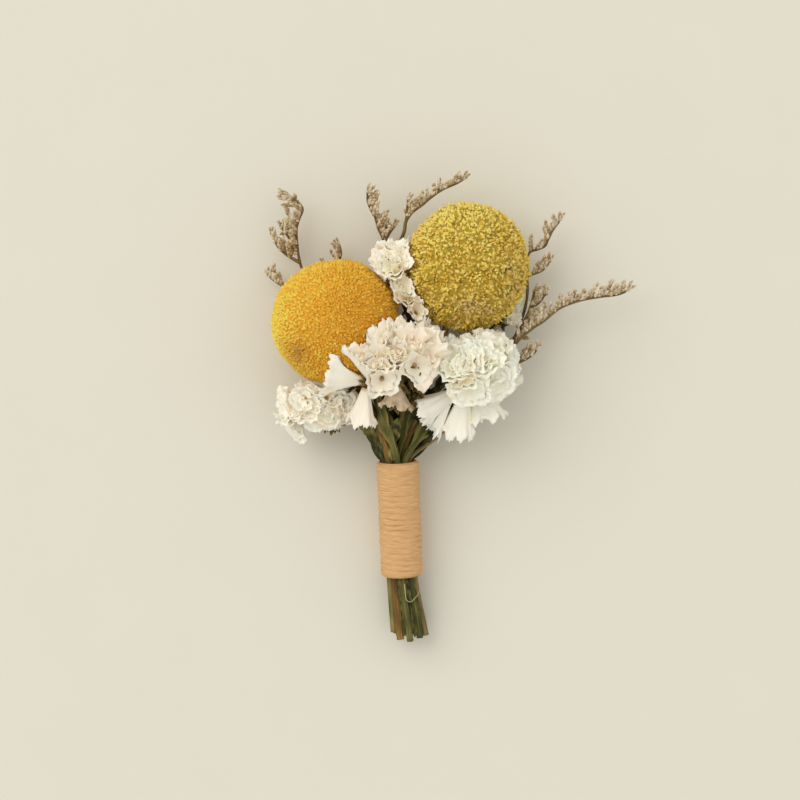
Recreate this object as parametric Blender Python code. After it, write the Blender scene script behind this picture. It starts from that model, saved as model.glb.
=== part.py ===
# Dried flower corsage, lying on its back.
# Two billy buttons, five bunches of white statice and four sea lavender sprays. Their twelve stems
# run side by side through a sleeve of wound thread and end in cut ends below it.
# It rests on the flats under the two balls and on the lowest cut stems.
# Lengths are in millimetres here and turn to metres where a mesh is made.
# X points right, Y along the stems towards the flowers, Z up from the surface that it lies on.

import math
import random

import bmesh
import bpy
from mathutils import Matrix, Vector

MILLIMETRE = 0.001
SEAT_GAP = 0.3
UP = Vector((0, 0, 1))

# The bundle's axis climbs from the cut ends on the surface to the height of the balls.
BUNDLE_CUT = Vector((2.6, -59.0, 4.55))
BINDING_FOOT = Vector((0.5, -43.2, 6.2))
BINDING_TOP = Vector((-0.6, -15.0, 9.9))

THREAD_TURNS = 20
THREAD_THICKNESS = 0.75
BINDING_RADIUS = 5.22
THREAD_GROOVE = 0.28

# Nine stems stand round the outside of the bundle and three inside it.
OUTER_STEM_RADIUS = 0.9
INNER_STEM_RADIUS = 0.78
OUTER_RING_RADIUS = 3.1
INNER_RING_RADIUS = 1.09
OUTER_STEMS = 9
CUT_END_SPREAD = 1.25

# The two billy buttons: outer radius across the stem's line and along it.
LEFT_HEAD = {"centre": Vector((-15.7, 19.1, 15.1)), "across": 15.5, "along": 14.9}
RIGHT_HEAD = {"centre": Vector((16.3, 32.4, 14.4)), "across": 14.8, "along": 15.4}
HEAD_FLORETS = 240
FLORET_RELIEF = 0.85
# The flat that a ball rests on: florets this near to straight below are cut off level.
FOOT_ANGLE = math.radians(14)
FOOT_CUT = 0.3

PETAL_THICKNESS = 0.62
FENCE_REACH = 15.0
FENCE_GAP = 0.4
HEAD_SOFTNESS = 0.7
PLANE_SOFTNESS = 0.4
STEM_SOFTNESS = 0.35
LEAST_SLOPE = 0.03
THROAT_RADIUS = 0.8
FUNNEL_FLARE = 1.7
ROOT_DEPTH = 1.6
# How much a stem's wings wave in and out.
WING_WAVE = 0.35
# Half width of a bract for each millimetre of its length, and half its thickness.
BRACT_WIDTH = 0.2
BRACT_HALF_THICKNESS = 0.36
# Share of the funnel's length and number of points round it, from the throat to the rim.
FUNNEL_RINGS = ((0.34, 4), (0.7, 8), (1.0, 16))
RIM_POINTS = FUNNEL_RINGS[-1][1]
# Waves round the rim: how many, and how high in millimetres on a floret at least this wide.
RUFFLES = ((3, 0.45), (5, 0.65))
RUFFLED_FROM = 3.0

SPIKELET_RADIUS = 0.6

STEM_GREEN = (0.140, 0.122, 0.038)
BILLY_STEM_GREEN = (0.190, 0.165, 0.062)
SPRAY_BEIGE = (0.423, 0.301, 0.133)
HEAD_ORANGE = (0.645, 0.314, 0.030)
HEAD_OLIVE = (0.509, 0.305, 0.037)
PETAL_WHITE = (0.753, 0.672, 0.507)
THREAD_PEACH = (0.617, 0.386, 0.171)


def clear_scene():
    for item in list(bpy.data.objects):
        bpy.data.objects.remove(item, do_unlink=True)


def make_material(name, colour, roughness):
    material = bpy.data.materials.new(name)
    material.use_nodes = True
    shader = material.node_tree.nodes["Principled BSDF"]
    shader.inputs["Base Color"].default_value = (*colour, 1.0)
    shader.inputs["Roughness"].default_value = roughness
    shader.inputs["Metallic"].default_value = 0.0
    return material


def make_object(name, points, faces, material=None, collection=None):
    mesh = bpy.data.meshes.new(name)
    mesh.from_pydata([tuple(p * MILLIMETRE) for p in points], [], faces)
    made = bpy.data.objects.new(name, mesh)
    (collection or bpy.context.scene.collection).objects.link(made)
    if material:
        mesh.materials.append(material)
    return made


# Curves and frames

def smooth_path(points, degrees_per_step=14.0):
    """Points on a centripetal Catmull-Rom curve, more of them where it bends more."""
    ends = [points[0] * 2 - points[1], *points, points[-1] * 2 - points[-2]]
    path = []
    for i in range(1, len(ends) - 2):
        p0, p1, p2, p3 = ends[i - 1 : i + 3]
        bend = (p1 - p0).angle(p2 - p1) + (p2 - p1).angle(p3 - p2)
        steps = 1 + int(math.degrees(bend) / 2 / degrees_per_step)
        k1 = math.sqrt((p1 - p0).length)
        k2 = k1 + math.sqrt((p2 - p1).length)
        k3 = k2 + math.sqrt((p3 - p2).length)
        for step in range(steps):
            k = k1 + (k2 - k1) * step / steps
            a1 = p0.lerp(p1, k / k1)
            a2 = p1.lerp(p2, (k - k1) / (k2 - k1))
            a3 = p2.lerp(p3, (k - k2) / (k3 - k2))
            path.append(a1.lerp(a2, k / k2).lerp(a2.lerp(a3, (k - k1) / (k3 - k1)), (k - k1) / (k2 - k1)))
    path.append(points[-1].copy())
    return path


def path_tangents(path):
    last = len(path) - 1
    return [(path[min(i + 1, last)] - path[max(i - 1, 0)]).normalized() for i in range(last + 1)]


def path_frames(path, side):
    """For each point (tangent, side, third), turned as little as possible along the path."""
    frames = []
    for tangent in path_tangents(path):
        side = (side - tangent * side.dot(tangent)).normalized()
        frames.append((tangent, side, tangent.cross(side)))
    return frames


def path_lengths(path):
    lengths = [0.0]
    for a, b in zip(path, path[1:]):
        lengths.append(lengths[-1] + (b - a).length)
    return lengths


def smoothstep(low, high, x):
    t = min(max((x - low) / (high - low), 0.0), 1.0)
    return t * t * (3 - 2 * t)


# Closed tubes

def bridge(lower, upper):
    """Triangles between two closed rings of vertex numbers that start at the same angle."""
    faces = []
    i = j = 0
    while i < len(lower) or j < len(upper):
        a, b = lower[i % len(lower)], upper[j % len(upper)]
        if j == len(upper) or (i < len(lower) and (i + 0.5) / len(lower) <= (j + 0.5) / len(upper)):
            faces.append((a, lower[(i + 1) % len(lower)], b))
            i += 1
        else:
            faces.append((a, upper[(j + 1) % len(upper)], b))
            j += 1
    return faces


def tube(path, side, profile):
    """A closed tube. profile(distance, share) gives the ring's radii, evenly spaced in angle."""
    lengths = path_lengths(path)
    points, rings = [], []
    for centre, frame, length in zip(path, path_frames(path, side), lengths):
        radii = profile(length, length / lengths[-1])
        rings.append(range(len(points), len(points) + len(radii)))
        for number, radius in enumerate(radii):
            angle = 2 * math.pi * number / len(radii)
            points.append(centre + (frame[1] * math.cos(angle) + frame[2] * math.sin(angle)) * radius)
    faces = [face for low, high in zip(rings, rings[1:]) for face in bridge(low, high)]
    for ring, turned in ((rings[0], True), (rings[-1], False)):
        points.append(sum((points[n] for n in ring), Vector()) / len(ring))
        for a, b in zip(ring, [*ring[1:], ring[0]]):
            faces.append((b, a, len(points) - 1) if turned else (a, b, len(points) - 1))
    return points, faces


def on_surface(points):
    """Nothing reaches below the surface that the corsage lies on."""
    return [Vector((p.x, p.y, max(p.z, 0.0))) for p in points]


# Bending petals clear of what they would cross

def soft_push(depth, softness):
    """Close to 0 for a negative depth and to the depth itself for a large one. Also its slope."""
    if depth > 20 * softness:
        return depth, 1.0
    swell = math.exp(depth / softness)
    return softness * math.log1p(swell), max(swell / (1 + swell), LEAST_SLOPE)


def nearest_on_path(point, path):
    best, nearest = 1e9, path[0]
    for start, end in zip(path, path[1:]):
        along = end - start
        share = min(max((point - start).dot(along) / along.length_squared, 0.0), 1.0)
        spot = start + along * share
        distance = (point - spot).length
        if distance < best:
            best, nearest = distance, spot
    return nearest


def bent_clear(point, normal, fences):
    """A point of a petal moved smoothly off each fence in turn, and the petal's normal there."""
    for kind, shape, size, softness in fences:
        if kind == "plane":
            away, stretch = size, 1.0
            depth = (point - shape).dot(size)
            pushed, slope = soft_push(depth, softness)
            point = point + size * (pushed - depth)
        else:
            nearest = nearest_on_path(point, shape) if kind == "path" else shape
            away = point - nearest
            distance = max(away.length, 1e-6)
            away = away / distance
            pushed, slope = soft_push(distance - size, softness)
            stretch = (size + pushed) / distance
            point = nearest + away * (size + pushed)
        steep = normal.dot(away)
        normal = (away * (steep / slope) + (normal - away * steep) / stretch).normalized()
    return point, normal


def head_fence(head):
    reach = max(head["across"], head["along"])
    return ("ball", head["centre"], reach + SEAT_GAP + PETAL_THICKNESS / 2, HEAD_SOFTNESS)


def plane_fence(point, normal):
    """Keeps petals, half their thickness and half a gap included, on the normal's side of a plane."""
    normal = Vector(normal).normalized()
    return ("plane", Vector(point) + normal * (PETAL_THICKNESS + SEAT_GAP) / 2, normal, PLANE_SOFTNESS)


def stem_fences(stems, core):
    """Fences round the parts of the stems that pass near a bunch's core."""
    rod = [Vector(core[0]), Vector(core[1])]
    fences = []
    for path, radius in stems:
        near = [p for p in path if (nearest_on_path(p, rod) - p).length < FENCE_REACH]
        if len(near) > 1:
            fences.append(("path", near, radius + FENCE_GAP + PETAL_THICKNESS / 2, STEM_SOFTNESS))
    return fences


FLOOR_FENCE = plane_fence((0, 0, 0.4), (0, 0, 1))


# Joining a node's repeats

def largest_body(source):
    """Keeps the body with the most volume, and drops loose scraps and sealed hollows."""
    shape = bmesh.new()
    shape.from_mesh(source.data)
    bmesh.ops.remove_doubles(shape, verts=shape.verts, dist=1e-7)
    bmesh.ops.triangulate(shape, faces=shape.faces)
    left, bodies = set(shape.faces), []
    while left:
        body, waiting = set(), [left.pop()]
        while waiting:
            face = waiting.pop()
            body.add(face)
            for edge in face.edges:
                for other in edge.link_faces:
                    if other in left:
                        left.discard(other)
                        waiting.append(other)
        volume = sum(f.verts[0].co.dot(f.verts[1].co.cross(f.verts[2].co)) for f in body)
        bodies.append((volume, body))
    keep = max(bodies, key=lambda item: item[0])[1]
    loose = [face for face in shape.faces if face not in keep]
    bmesh.ops.delete(shape, geom=loose, context="FACES")
    shape.to_mesh(source.data)
    shape.free()


def fuse(name, pieces, material):
    """One closed body from overlapping closed pieces, each given as (points, faces)."""
    body = make_object(name, *pieces[0], material)
    others = bpy.data.collections.new(name + "_pieces")
    bpy.context.scene.collection.children.link(others)
    for number, (points, faces) in enumerate(pieces[1:]):
        make_object(f"{name}_piece_{number}", points, faces, None, others)
    union = body.modifiers.new("Join", "BOOLEAN")
    union.operation = "UNION"
    union.operand_type = "COLLECTION"
    union.collection = others
    union.solver = "MANIFOLD"
    bpy.context.view_layer.update()
    joined = body.evaluated_get(bpy.context.evaluated_depsgraph_get())
    mesh = bpy.data.meshes.new_from_object(joined)
    body.modifiers.clear()
    body.data = mesh
    mesh.name = name
    for piece in list(others.objects):
        bpy.data.objects.remove(piece, do_unlink=True)
    bpy.data.collections.remove(others)
    largest_body(body)
    mesh.materials.clear()
    mesh.materials.append(material)
    return body


# The bundle: where each stem runs through the binding

def bundle_frame():
    forward = (BINDING_TOP - BINDING_FOOT).normalized()
    right = forward.cross(UP).normalized()
    return right, right.cross(forward)


def slot_offset(slot):
    """The stem's place across the bundle. Slots 0 to 8 go clockwise from the top, 9 to 11 are inside."""
    right, up = bundle_frame()
    if slot < OUTER_STEMS:
        angle = math.radians(90 - slot * 360 / OUTER_STEMS)
        radius = OUTER_RING_RADIUS
    else:
        angle = math.radians(90 - (slot - OUTER_STEMS) * 120)
        radius = INNER_RING_RADIUS
    return (right * math.cos(angle) + up * math.sin(angle)) * radius


def bundled_path(slot, cut_back, beyond):
    """From the cut end through the binding, then along the given points."""
    offset = slot_offset(slot)
    forward = (BINDING_TOP - BINDING_FOOT).normalized()
    below = (BUNDLE_CUT - BINDING_FOOT).normalized()
    return [
        BUNDLE_CUT - below * cut_back + offset * CUT_END_SPREAD,
        BINDING_FOOT + below * 1.5 + offset,
        BINDING_FOOT + forward * 3.0 + offset,
        BINDING_TOP - forward * 3.0 + offset,
        BINDING_TOP + forward * 0.5 + offset,
        *[Vector(p) for p in beyond],
    ]


# Billy buttons

def fibonacci_directions(count):
    turn = math.pi * (3 - math.sqrt(5))
    directions = []
    for number in range(count):
        height = 1 - 2 * (number + 0.5) / count
        ring = math.sqrt(1 - height * height)
        directions.append(Vector((ring * math.cos(turn * number), ring * math.sin(turn * number), height)))
    return directions


def billy_button_head(name, head, stem_direction, material):
    """A ball of domed florets in a spiral lattice, smooth round the stem and flat where it rests."""
    shape = bmesh.new()
    for direction in fibonacci_directions(HEAD_FLORETS):
        shape.verts.new(direction)
    bmesh.ops.convex_hull(shape, input=shape.verts)
    bmesh.ops.triangulate(shape, faces=shape.faces)
    shape.verts.index_update()
    shape.faces.index_update()
    tops = [vert.co.normalized() for vert in shape.verts]
    creases = [face.calc_center_median().normalized() for face in shape.faces]
    # Each floret is a dome: its top is joined to the creases round it.
    faces = []
    for edge in shape.edges:
        first, second = edge.link_faces
        loop = next(loop for loop in first.loops if loop.edge == edge)
        a, b = loop.vert.index, loop.link_loop_next.vert.index
        low, high = len(tops) + first.index, len(tops) + second.index
        faces.append((a, high, low))
        faces.append((b, low, high))
    shape.free()
    to_stem = UP.rotation_difference(stem_direction).to_matrix()
    points = []
    for number, direction in enumerate(tops + creases):
        from_stem = math.degrees(direction.angle(-UP))
        relief = FLORET_RELIEF * smoothstep(9.0, 16.0, from_stem)
        sunk = FLORET_RELIEF - relief if number < len(tops) else FLORET_RELIEF
        across, along = head["across"] - sunk, head["along"] - sunk
        local = Vector((direction.x * across, direction.y * across, direction.z * along))
        point = head["centre"] + to_stem @ local
        if (to_stem @ direction).angle(-UP) < FOOT_ANGLE:
            point.z = -FOOT_CUT
        points.append(point)
    ball = make_object(name, points, faces, material)
    flat = bmesh.new()
    flat.from_mesh(ball.data)
    cut = bmesh.ops.bisect_plane(
        flat,
        geom=[*flat.verts, *flat.edges, *flat.faces],
        plane_co=(0, 0, 0),
        plane_no=(0, 0, -1),
        clear_outer=True,
    )
    rim = [item for item in cut["geom_cut"] if isinstance(item, bmesh.types.BMEdge)]
    bmesh.ops.holes_fill(flat, edges=rim)
    bmesh.ops.recalc_face_normals(flat, faces=flat.faces)
    flat.to_mesh(ball.data)
    flat.free()
    return ball


def stem_seat(head, stem_direction):
    """Where the stem's end stops, just short of the smooth base of the ball."""
    return head["centre"] - stem_direction * (head["along"] - FLORET_RELIEF + SEAT_GAP)


def round_stem(name, path, radius, tip_radius, material, sides=8):
    def profile(_, share):
        return [radius + (tip_radius - radius) * share] * sides

    points, faces = tube(smooth_path(path), Vector((1, 0, 0)), profile)
    return make_object(name, on_surface(points), faces, material)


# Statice: winged stems and papery funnel florets

def statice_stem(name, path, radius, wing_reach, bracts, material, seed):
    """A stem with three wings, waved above the binding, and pointed bracts near its end."""
    draw = random.Random(seed)
    path = smooth_path(path, 16.0)
    lengths = path_lengths(path)
    free_from = lengths[-1] - (path[-1] - BINDING_TOP).length + 3.0

    def profile(length, share):
        spread = smoothstep(free_from, free_from + 6.0, length) * (1 - smoothstep(0.80, 0.93, share))
        tip = radius + spread * (wing_reach + WING_WAVE * math.sin(length * 1.7 + seed))
        valley = radius * 0.68
        return [tip, valley, tip, valley, tip, valley]

    points, faces = tube(path, Vector((0.4, 0, 1)), profile)
    pieces = [(on_surface(points), faces)]
    tangents = path_tangents(path)
    for share, direction, length in bracts:
        index = min(range(len(path)), key=lambda i: abs(lengths[i] - share * lengths[-1]))
        lean = (Vector(direction).normalized() + tangents[index] * 0.5).normalized()
        width = BRACT_WIDTH * length * draw.uniform(0.85, 1.15)
        root = path[index] - lean * 0.3
        pieces.append(spindle(root, lean, length, width, 4, 0.42, 0.0, BRACT_HALF_THICKNESS))
    return fuse(name, pieces, material) if len(pieces) > 1 else make_object(name, *pieces[0], material)


def spindle(root, direction, length, radius, sides, widest=0.42, roll=0.0, flat_radius=None):
    """A closed pointed bud or bract from root to tip, flattened where a second radius is given."""
    side = direction.cross(UP)
    side = side.normalized() if side.length > 0.1 else direction.orthogonal().normalized()
    third = direction.cross(side) * ((flat_radius or radius) / radius)
    points = [root]
    for number in range(sides):
        angle = roll + 2 * math.pi * number / sides
        out = side * math.cos(angle) + third * math.sin(angle)
        points.append(root + direction * (length * widest) + out * radius)
    points.append(root + direction * length)
    faces = []
    for number in range(sides):
        here, after = 1 + number, 1 + (number + 1) % sides
        faces.append((0, after, here))
        faces.append((here, after, sides + 1))
    return points, faces


def floret_axes(direction, roll):
    """The two ways across a floret. At no roll its wide way is level."""
    level = UP.cross(direction)
    level = level.normalized() if level.length > 1e-3 else Vector((1, 0, 0))
    third = direction.cross(level)
    turn = math.radians(roll)
    across = level * math.cos(turn) + third * math.sin(turn)
    return across, direction.cross(across)


def floret(shape, seed, fences):
    """A papery funnel with a toothed, ruffled rim, closed and of even thickness.

    shape is (base, middle of the mouth, wide radius, narrow radius, roll): base is where it leaves
    the core, and the radii are the rim's across and along the flattened way.
    """
    base, mouth, wide, narrow, roll = shape
    draw = random.Random(seed)
    base, mouth = Vector(base), Vector(mouth)
    forward = (mouth - base).normalized()
    length = (mouth - base).length
    across, third = floret_axes(forward, roll)
    waves = [(cycles, height, draw.uniform(0, 2 * math.pi)) for cycles, height in RUFFLES]
    curl_way, curl = draw.uniform(0, 2 * math.pi), draw.uniform(0.05, 0.16)
    teeth = [(0.10 if number % 2 else -0.09) + draw.uniform(-0.03, 0.03) for number in range(RIM_POINTS)]

    def wall(share, number, count, side):
        angle = 2 * math.pi * number / count
        spread = share**FUNNEL_FLARE
        half_wide = THROAT_RADIUS + (wide - THROAT_RADIUS) * spread
        half_narrow = THROAT_RADIUS + (narrow - THROAT_RADIUS) * spread
        normal = Vector((math.cos(angle) / half_wide, math.sin(angle) / half_narrow)).normalized()
        ruffle = sum(height * math.sin(cycles * angle + turn) for cycles, height, turn in waves)
        ruffle *= share**2.2 * min(1.0, narrow / RUFFLED_FROM)
        reach = share * length + share**3 * length * curl * math.cos(angle + curl_way)
        if share == 1.0:
            reach += teeth[number] * length
        # The funnel opens like a bell, so the wall's normal leans backwards towards the rim.
        lean = 0.55 * share
        flat = across * (math.cos(angle) * half_wide) + third * (math.sin(angle) * half_narrow)
        outward = (across * normal.x + third * normal.y) * math.cos(lean) - forward * math.sin(lean)
        middle, outward = bent_clear(base + forward * reach + flat + outward * ruffle, outward, fences)
        return middle + outward * (side * PETAL_THICKNESS / 2)

    root = base - forward * ROOT_DEPTH
    points = []
    for number in range(FUNNEL_RINGS[0][1]):
        angle = 2 * math.pi * number / FUNNEL_RINGS[0][1]
        points.append(root + (across * math.cos(angle) + third * math.sin(angle)) * THROAT_RADIUS * 0.8)
    rings = [range(len(points))]
    for share, count in FUNNEL_RINGS:
        rings.append(range(len(points), len(points) + count))
        points.extend(wall(share, number, count, 1) for number in range(count))
    inside = len(points) - len(rings[0])
    for share, count in FUNNEL_RINGS:
        points.extend(wall(share, number, count, -1) for number in range(count))
    points.append(base + forward * length * 0.2)

    # Both faces of the wall are triangulated alike.
    outer = [face for low, high in zip(rings[1:], rings[2:]) for face in bridge(low, high)]
    rim = rings[-1]
    mouth_ring = [number + inside for number in rim]
    throat_ring = [number + inside for number in rings[1]]
    faces = [tuple(reversed(rings[0])), *bridge(rings[0], rings[1]), *outer, *bridge(rim, mouth_ring)]
    faces.extend(tuple(number + inside for number in reversed(face)) for face in outer)
    for a, b in zip(throat_ring, [*throat_ring[1:], throat_ring[0]]):
        faces.append((a, b, len(points) - 1))
    return points, faces


def capsule(start, end, radius, sides=7):
    """The bunch's core, a rounded rod."""
    along = (end - start).normalized()
    path = [
        start - along * radius,
        start - along * radius * 0.6,
        start,
        end,
        end + along * radius * 0.6,
        end + along * radius,
    ]
    swell = (0.25, 0.8, 1.0, 1.0, 0.8, 0.25)
    rings = iter(swell)
    return tube(path, UP, lambda _, __: [radius * next(rings)] * sides)


def statice_bunch(name, core, florets, fences, material, seed):
    start, end, radius = core
    pieces = [capsule(Vector(start), Vector(end), radius)]
    for number, shape in enumerate(florets):
        pieces.append(floret(shape, seed + number, fences))
    return fuse(name, pieces, material)


# Sea lavender

def spray(name, stems, material, seed):
    """Branching stems with spikelets on one side of each branch.

    Each stem is (points, radius at its start, radius at its end, sides, length of the flowering
    part, side that the spikelets stand on, number of spikelets, length of a spikelet).
    """
    draw = random.Random(seed)
    pieces = []
    for points, start_radius, tip_radius, sides, flowering, spike_side, spikes, spike_length in stems:
        path = smooth_path([Vector(p) for p in points], 30.0)
        tube_points, faces = tube(
            path,
            Vector((0.3, 0.2, 1)),
            lambda _, share, a=start_radius, b=tip_radius: [a + (b - a) * share**0.7] * sides,
        )
        pieces.append((on_surface(tube_points), faces))
        lengths = path_lengths(path)
        tangents = path_tangents(path)
        for number in range(spikes):
            distance = lengths[-1] - flowering * (1 - number / spikes)
            index = max(i for i in range(len(path) - 1) if lengths[i] <= distance)
            step = path[index + 1] - path[index]
            spot = path[index] + step * (distance - lengths[index]) / step.length
            tangent = step.normalized()
            side = Vector(spike_side)
            side = (side - tangent * side.dot(tangent)).normalized()
            swing = math.radians((26 if number % 2 else -26) + draw.uniform(-18, 18))
            side = Matrix.Rotation(swing, 3, tangent) @ side
            lean = math.radians(draw.uniform(36, 54))
            direction = (tangent * math.cos(lean) + side * math.sin(lean)).normalized()
            size = spike_length * draw.uniform(0.82, 1.15)
            turn = draw.uniform(0, 2 * math.pi)
            pieces.append(spindle(spot - direction * 0.12, direction, size, SPIKELET_RADIUS, 3, 0.6, turn))
        tip = path[-1] - tangents[-1] * 0.5
        pieces.append(spindle(tip, tangents[-1], spike_length, SPIKELET_RADIUS, 4, 0.5))
    return fuse(name, pieces, material)


# The binding

def binding_thread(material, seed):
    """A sleeve of thread turns wound side by side, each a ridge, with the stems' channel through it."""
    draw = random.Random(seed)
    forward = (BINDING_TOP - BINDING_FOOT).normalized()
    length = (BINDING_TOP - BINDING_FOOT).length
    right, up = bundle_frame()
    sides, pitch = 12, length / THREAD_TURNS
    rows = []
    for turn in range(THREAD_TURNS):
        crest = BINDING_RADIUS + draw.uniform(-0.10, 0.08)
        rows.append((turn * pitch, BINDING_RADIUS - THREAD_GROOVE))
        rows.append(((turn + 0.5) * pitch, crest))
    rows.append((length, BINDING_RADIUS - THREAD_GROOVE))
    inner = BINDING_RADIUS - THREAD_THICKNESS
    points, rings = [], []
    for height, radius in [*rows, (length, inner), (0.0, inner)]:
        rings.append(range(len(points), len(points) + sides))
        for number in range(sides):
            angle = 2 * math.pi * number / sides
            # The winding climbs by one pitch for each turn, shown as a lean across the sleeve.
            free = 0.0 if radius == inner else min(height, length - height) / (2 * pitch)
            climb = math.cos(angle - math.radians(20)) * pitch * 0.45 * min(free, 1.0)
            out = right * math.cos(angle) + up * math.sin(angle)
            points.append(BINDING_FOOT + forward * (height + climb) + out * radius)
    faces = []
    for low, high in zip(rings, [*rings[1:], rings[0]]):
        faces.extend(tuple(reversed(face)) for face in bridge(low, high))
    return make_object("binding_thread", points, faces, material)


# The whole corsage

def build_corsage():
    stem_green = make_material("statice_stem_green", STEM_GREEN, 0.8)
    billy_green = make_material("billy_button_stem", BILLY_STEM_GREEN, 0.75)
    beige = make_material("sea_lavender_beige", SPRAY_BEIGE, 0.85)
    petal = make_material("statice_petal_white", PETAL_WHITE, 0.7)
    orange = make_material("billy_button_orange", HEAD_ORANGE, 0.9)
    olive = make_material("billy_button_olive", HEAD_OLIVE, 0.9)
    peach = make_material("thread_peach", THREAD_PEACH, 0.75)

    # Billy buttons, each on its own stem
    left_axis = Vector((-0.36, 0.92, 0.12)).normalized()
    right_axis = Vector((0.32, 0.94, 0.06)).normalized()
    billy_button_head("billy_button_head_left", LEFT_HEAD, left_axis, orange)
    billy_button_head("billy_button_head_right", RIGHT_HEAD, right_axis, olive)
    left_seat, right_seat = stem_seat(LEFT_HEAD, left_axis), stem_seat(RIGHT_HEAD, right_axis)
    left_path = bundled_path(8, 0.4, [(-5.2, -6.0, 13.0), left_seat - left_axis * 5, left_seat])
    right_path = bundled_path(10, 0.9, [(4.0, -4.0, 10.9), right_seat - right_axis * 6, right_seat])
    round_stem("billy_button_stem_left", left_path, OUTER_STEM_RADIUS, 1.05, billy_green)
    round_stem("billy_button_stem_right", right_path, INNER_STEM_RADIUS, 0.85, billy_green)

    # Cores of the five statice bunches: start, end and radius
    centre_core = ((-8.0, 4.0, 20.5), (4.0, 8.0, 20.8), 1.9)
    right_core = ((12.8, 3.8, 16.6), (22.0, 8.4, 16.0), 1.9)
    left_core = ((-14.5, -0.2, 12.4), (-23.5, -2.0, 11.6), 1.8)
    back_core = ((3.4, 19.6, 12.0), (-1.4, 31.0, 12.6), 1.4)
    low_core = ((24.4, 18.4, 6.0), (26.2, 20.8, 6.2), 1.5)

    # Statice stems: slot in the binding, how far the cut end stops short, route, core and share
    # along it where the stem ends, height of the wings
    statice_stems = [
        ("centre", 0, 0.0, [(-2.4, -8.4, 15.0), (-4.4, -1.0, 16.0)], centre_core, 0.15, 1.5, 11),
        ("centre_second", 9, 1.2, [(1.0, -8.0, 12.8), (2.2, 0.0, 14.8)], centre_core, 0.85, 1.2, 12),
        ("right", 1, 0.6, [(5.0, -8.8, 12.8), (9.8, -2.0, 11.6), (12.6, 1.8, 11.4)],
         right_core, 0.2, 1.5, 13),
        ("left", 7, 1.8, [(-5.8, -9.4, 10.6), (-8.2, -5.6, 9.6), (-13.2, -2.6, 8.2)],
         left_core, 0.3, 1.4, 14),
        ("back", 11, 0.8, [(-0.8, -4.0, 9.0), (1.2, 8.0, 8.2)], back_core, 0.15, 0.8, 15),
        ("low_right", 4, 0.2, [(4.6, -4.0, 4.4), (13.6, 8.0, 2.6), (20.0, 14.6, 1.8)],
         low_core, 0.3, 0.5, 16),
    ]
    # Pointed bracts on those stems: share along the stem, direction, length
    bracts = {
        "left": [
            (0.71, (-0.6, 0.8, 0.0), 8.0), (0.84, (0.1, -1, 0.1), 3.6), (0.88, (-0.3, -1, -0.2), 4.4),
            (0.92, (-0.8, -0.6, 0.2), 3.8),
        ],
        "centre": [(0.74, (0.4, 0.8, 0.3), 7.5), (0.88, (0.9, -0.3, -0.2), 3.4)],
        "centre_second": [(0.80, (0.7, 0.4, 0.3), 5.0)],
        "right": [(0.74, (0.7, 0.5, -0.3), 6.5), (0.86, (1.0, -0.4, -0.3), 3.8)],
    }
    stem_paths = {}
    for name, slot, cut_back, beyond, core, share, wing_height, seed in statice_stems:
        radius = OUTER_STEM_RADIUS if slot < OUTER_STEMS else INNER_STEM_RADIUS
        seat = Vector(core[0]).lerp(Vector(core[1]), share) - UP * (core[2] + SEAT_GAP)
        path = bundled_path(slot, cut_back, [*beyond, seat - UP * 1.8, seat])
        leaves = bracts.get(name, [])
        statice_stem(f"statice_stem_{name}", path, radius, wing_height, leaves, stem_green, seed)
        stem_paths[name] = (smooth_path(path), radius)

    # Sea lavender trunks
    trunks = {
        "left": bundled_path(6, 1.0, [
            (-4.4, -9.0, 7.0), (-6.2, 0.0, 4.4), (-7.0, 8.0, 2.2), (-7.2, 14.0, 1.1), (-7.0, 20.5, 1.0),
            (-9.2, 26.2, 1.4), (-14.0, 29.0, 2.0), (-19.4, 29.8, 3.0), (-22.4, 30.6, 3.9),
            (-24.0, 31.9, 4.6), (-25.0, 35.2, 5.6), (-25.4, 38.3, 6.3), (-25.5, 42.4, 7.2),
            (-24.8, 44.8, 7.7), (-24.0, 47.2, 8.1), (-25.3, 48.9, 8.5), (-27.3, 50.4, 8.8),
        ]),
        "top": bundled_path(5, 0.5, [
            (-1.6, -5.0, 5.4), (-1.4, 8.0, 4.2), (-1.6, 20.0, 3.8), (-3.2, 30.0, 4.4), (-3.6, 35.6, 6.4),
            (-4.2, 39.6, 8.6), (-5.4, 42.3, 9.5), (-6.2, 45.1, 10.1), (-7.1, 46.6, 10.4), (-7.9, 48.6, 10.8),
            (-8.0, 50.6, 11.1),
        ]),
        "upper_right": bundled_path(3, 1.4, [
            (7.6, -8.0, 7.0), (16.4, 2.4, 6.0), (22.6, 8.4, 5.6), (27.6, 14.2, 6.2), (29.9, 19.4, 7.0),
            (31.3, 25.0, 7.8), (31.4, 30.0, 8.2), (31.1, 33.6, 8.5), (32.0, 36.4, 9.0), (34.0, 37.1, 9.4),
            (35.7, 37.9, 9.8), (36.4, 39.4, 10.2), (37.6, 41.8, 10.7), (39.1, 43.8, 11.3),
        ]),
        "lower_right": bundled_path(2, 0.7, [
            (9.2, -9.0, 9.6), (18.0, 0.0, 8.8), (24.4, 7.4, 9.2), (27.4, 12.2, 10.2), (29.4, 15.0, 11.0),
            (31.8, 17.1, 11.4), (35.4, 19.5, 11.8), (39.0, 22.4, 12.4), (42.6, 23.9, 12.8),
            (46.2, 24.8, 13.1), (49.8, 25.3, 13.4), (53.4, 25.8, 13.7), (55.2, 26.5, 13.9),
        ]),
    }
    for name, points in trunks.items():
        stem_paths[name] = (smooth_path(points), 0.75)
    stem_paths["billy_left"] = (smooth_path(left_path), OUTER_STEM_RADIUS)
    stem_paths["billy_right"] = (smooth_path(right_path), INNER_STEM_RADIUS)

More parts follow.
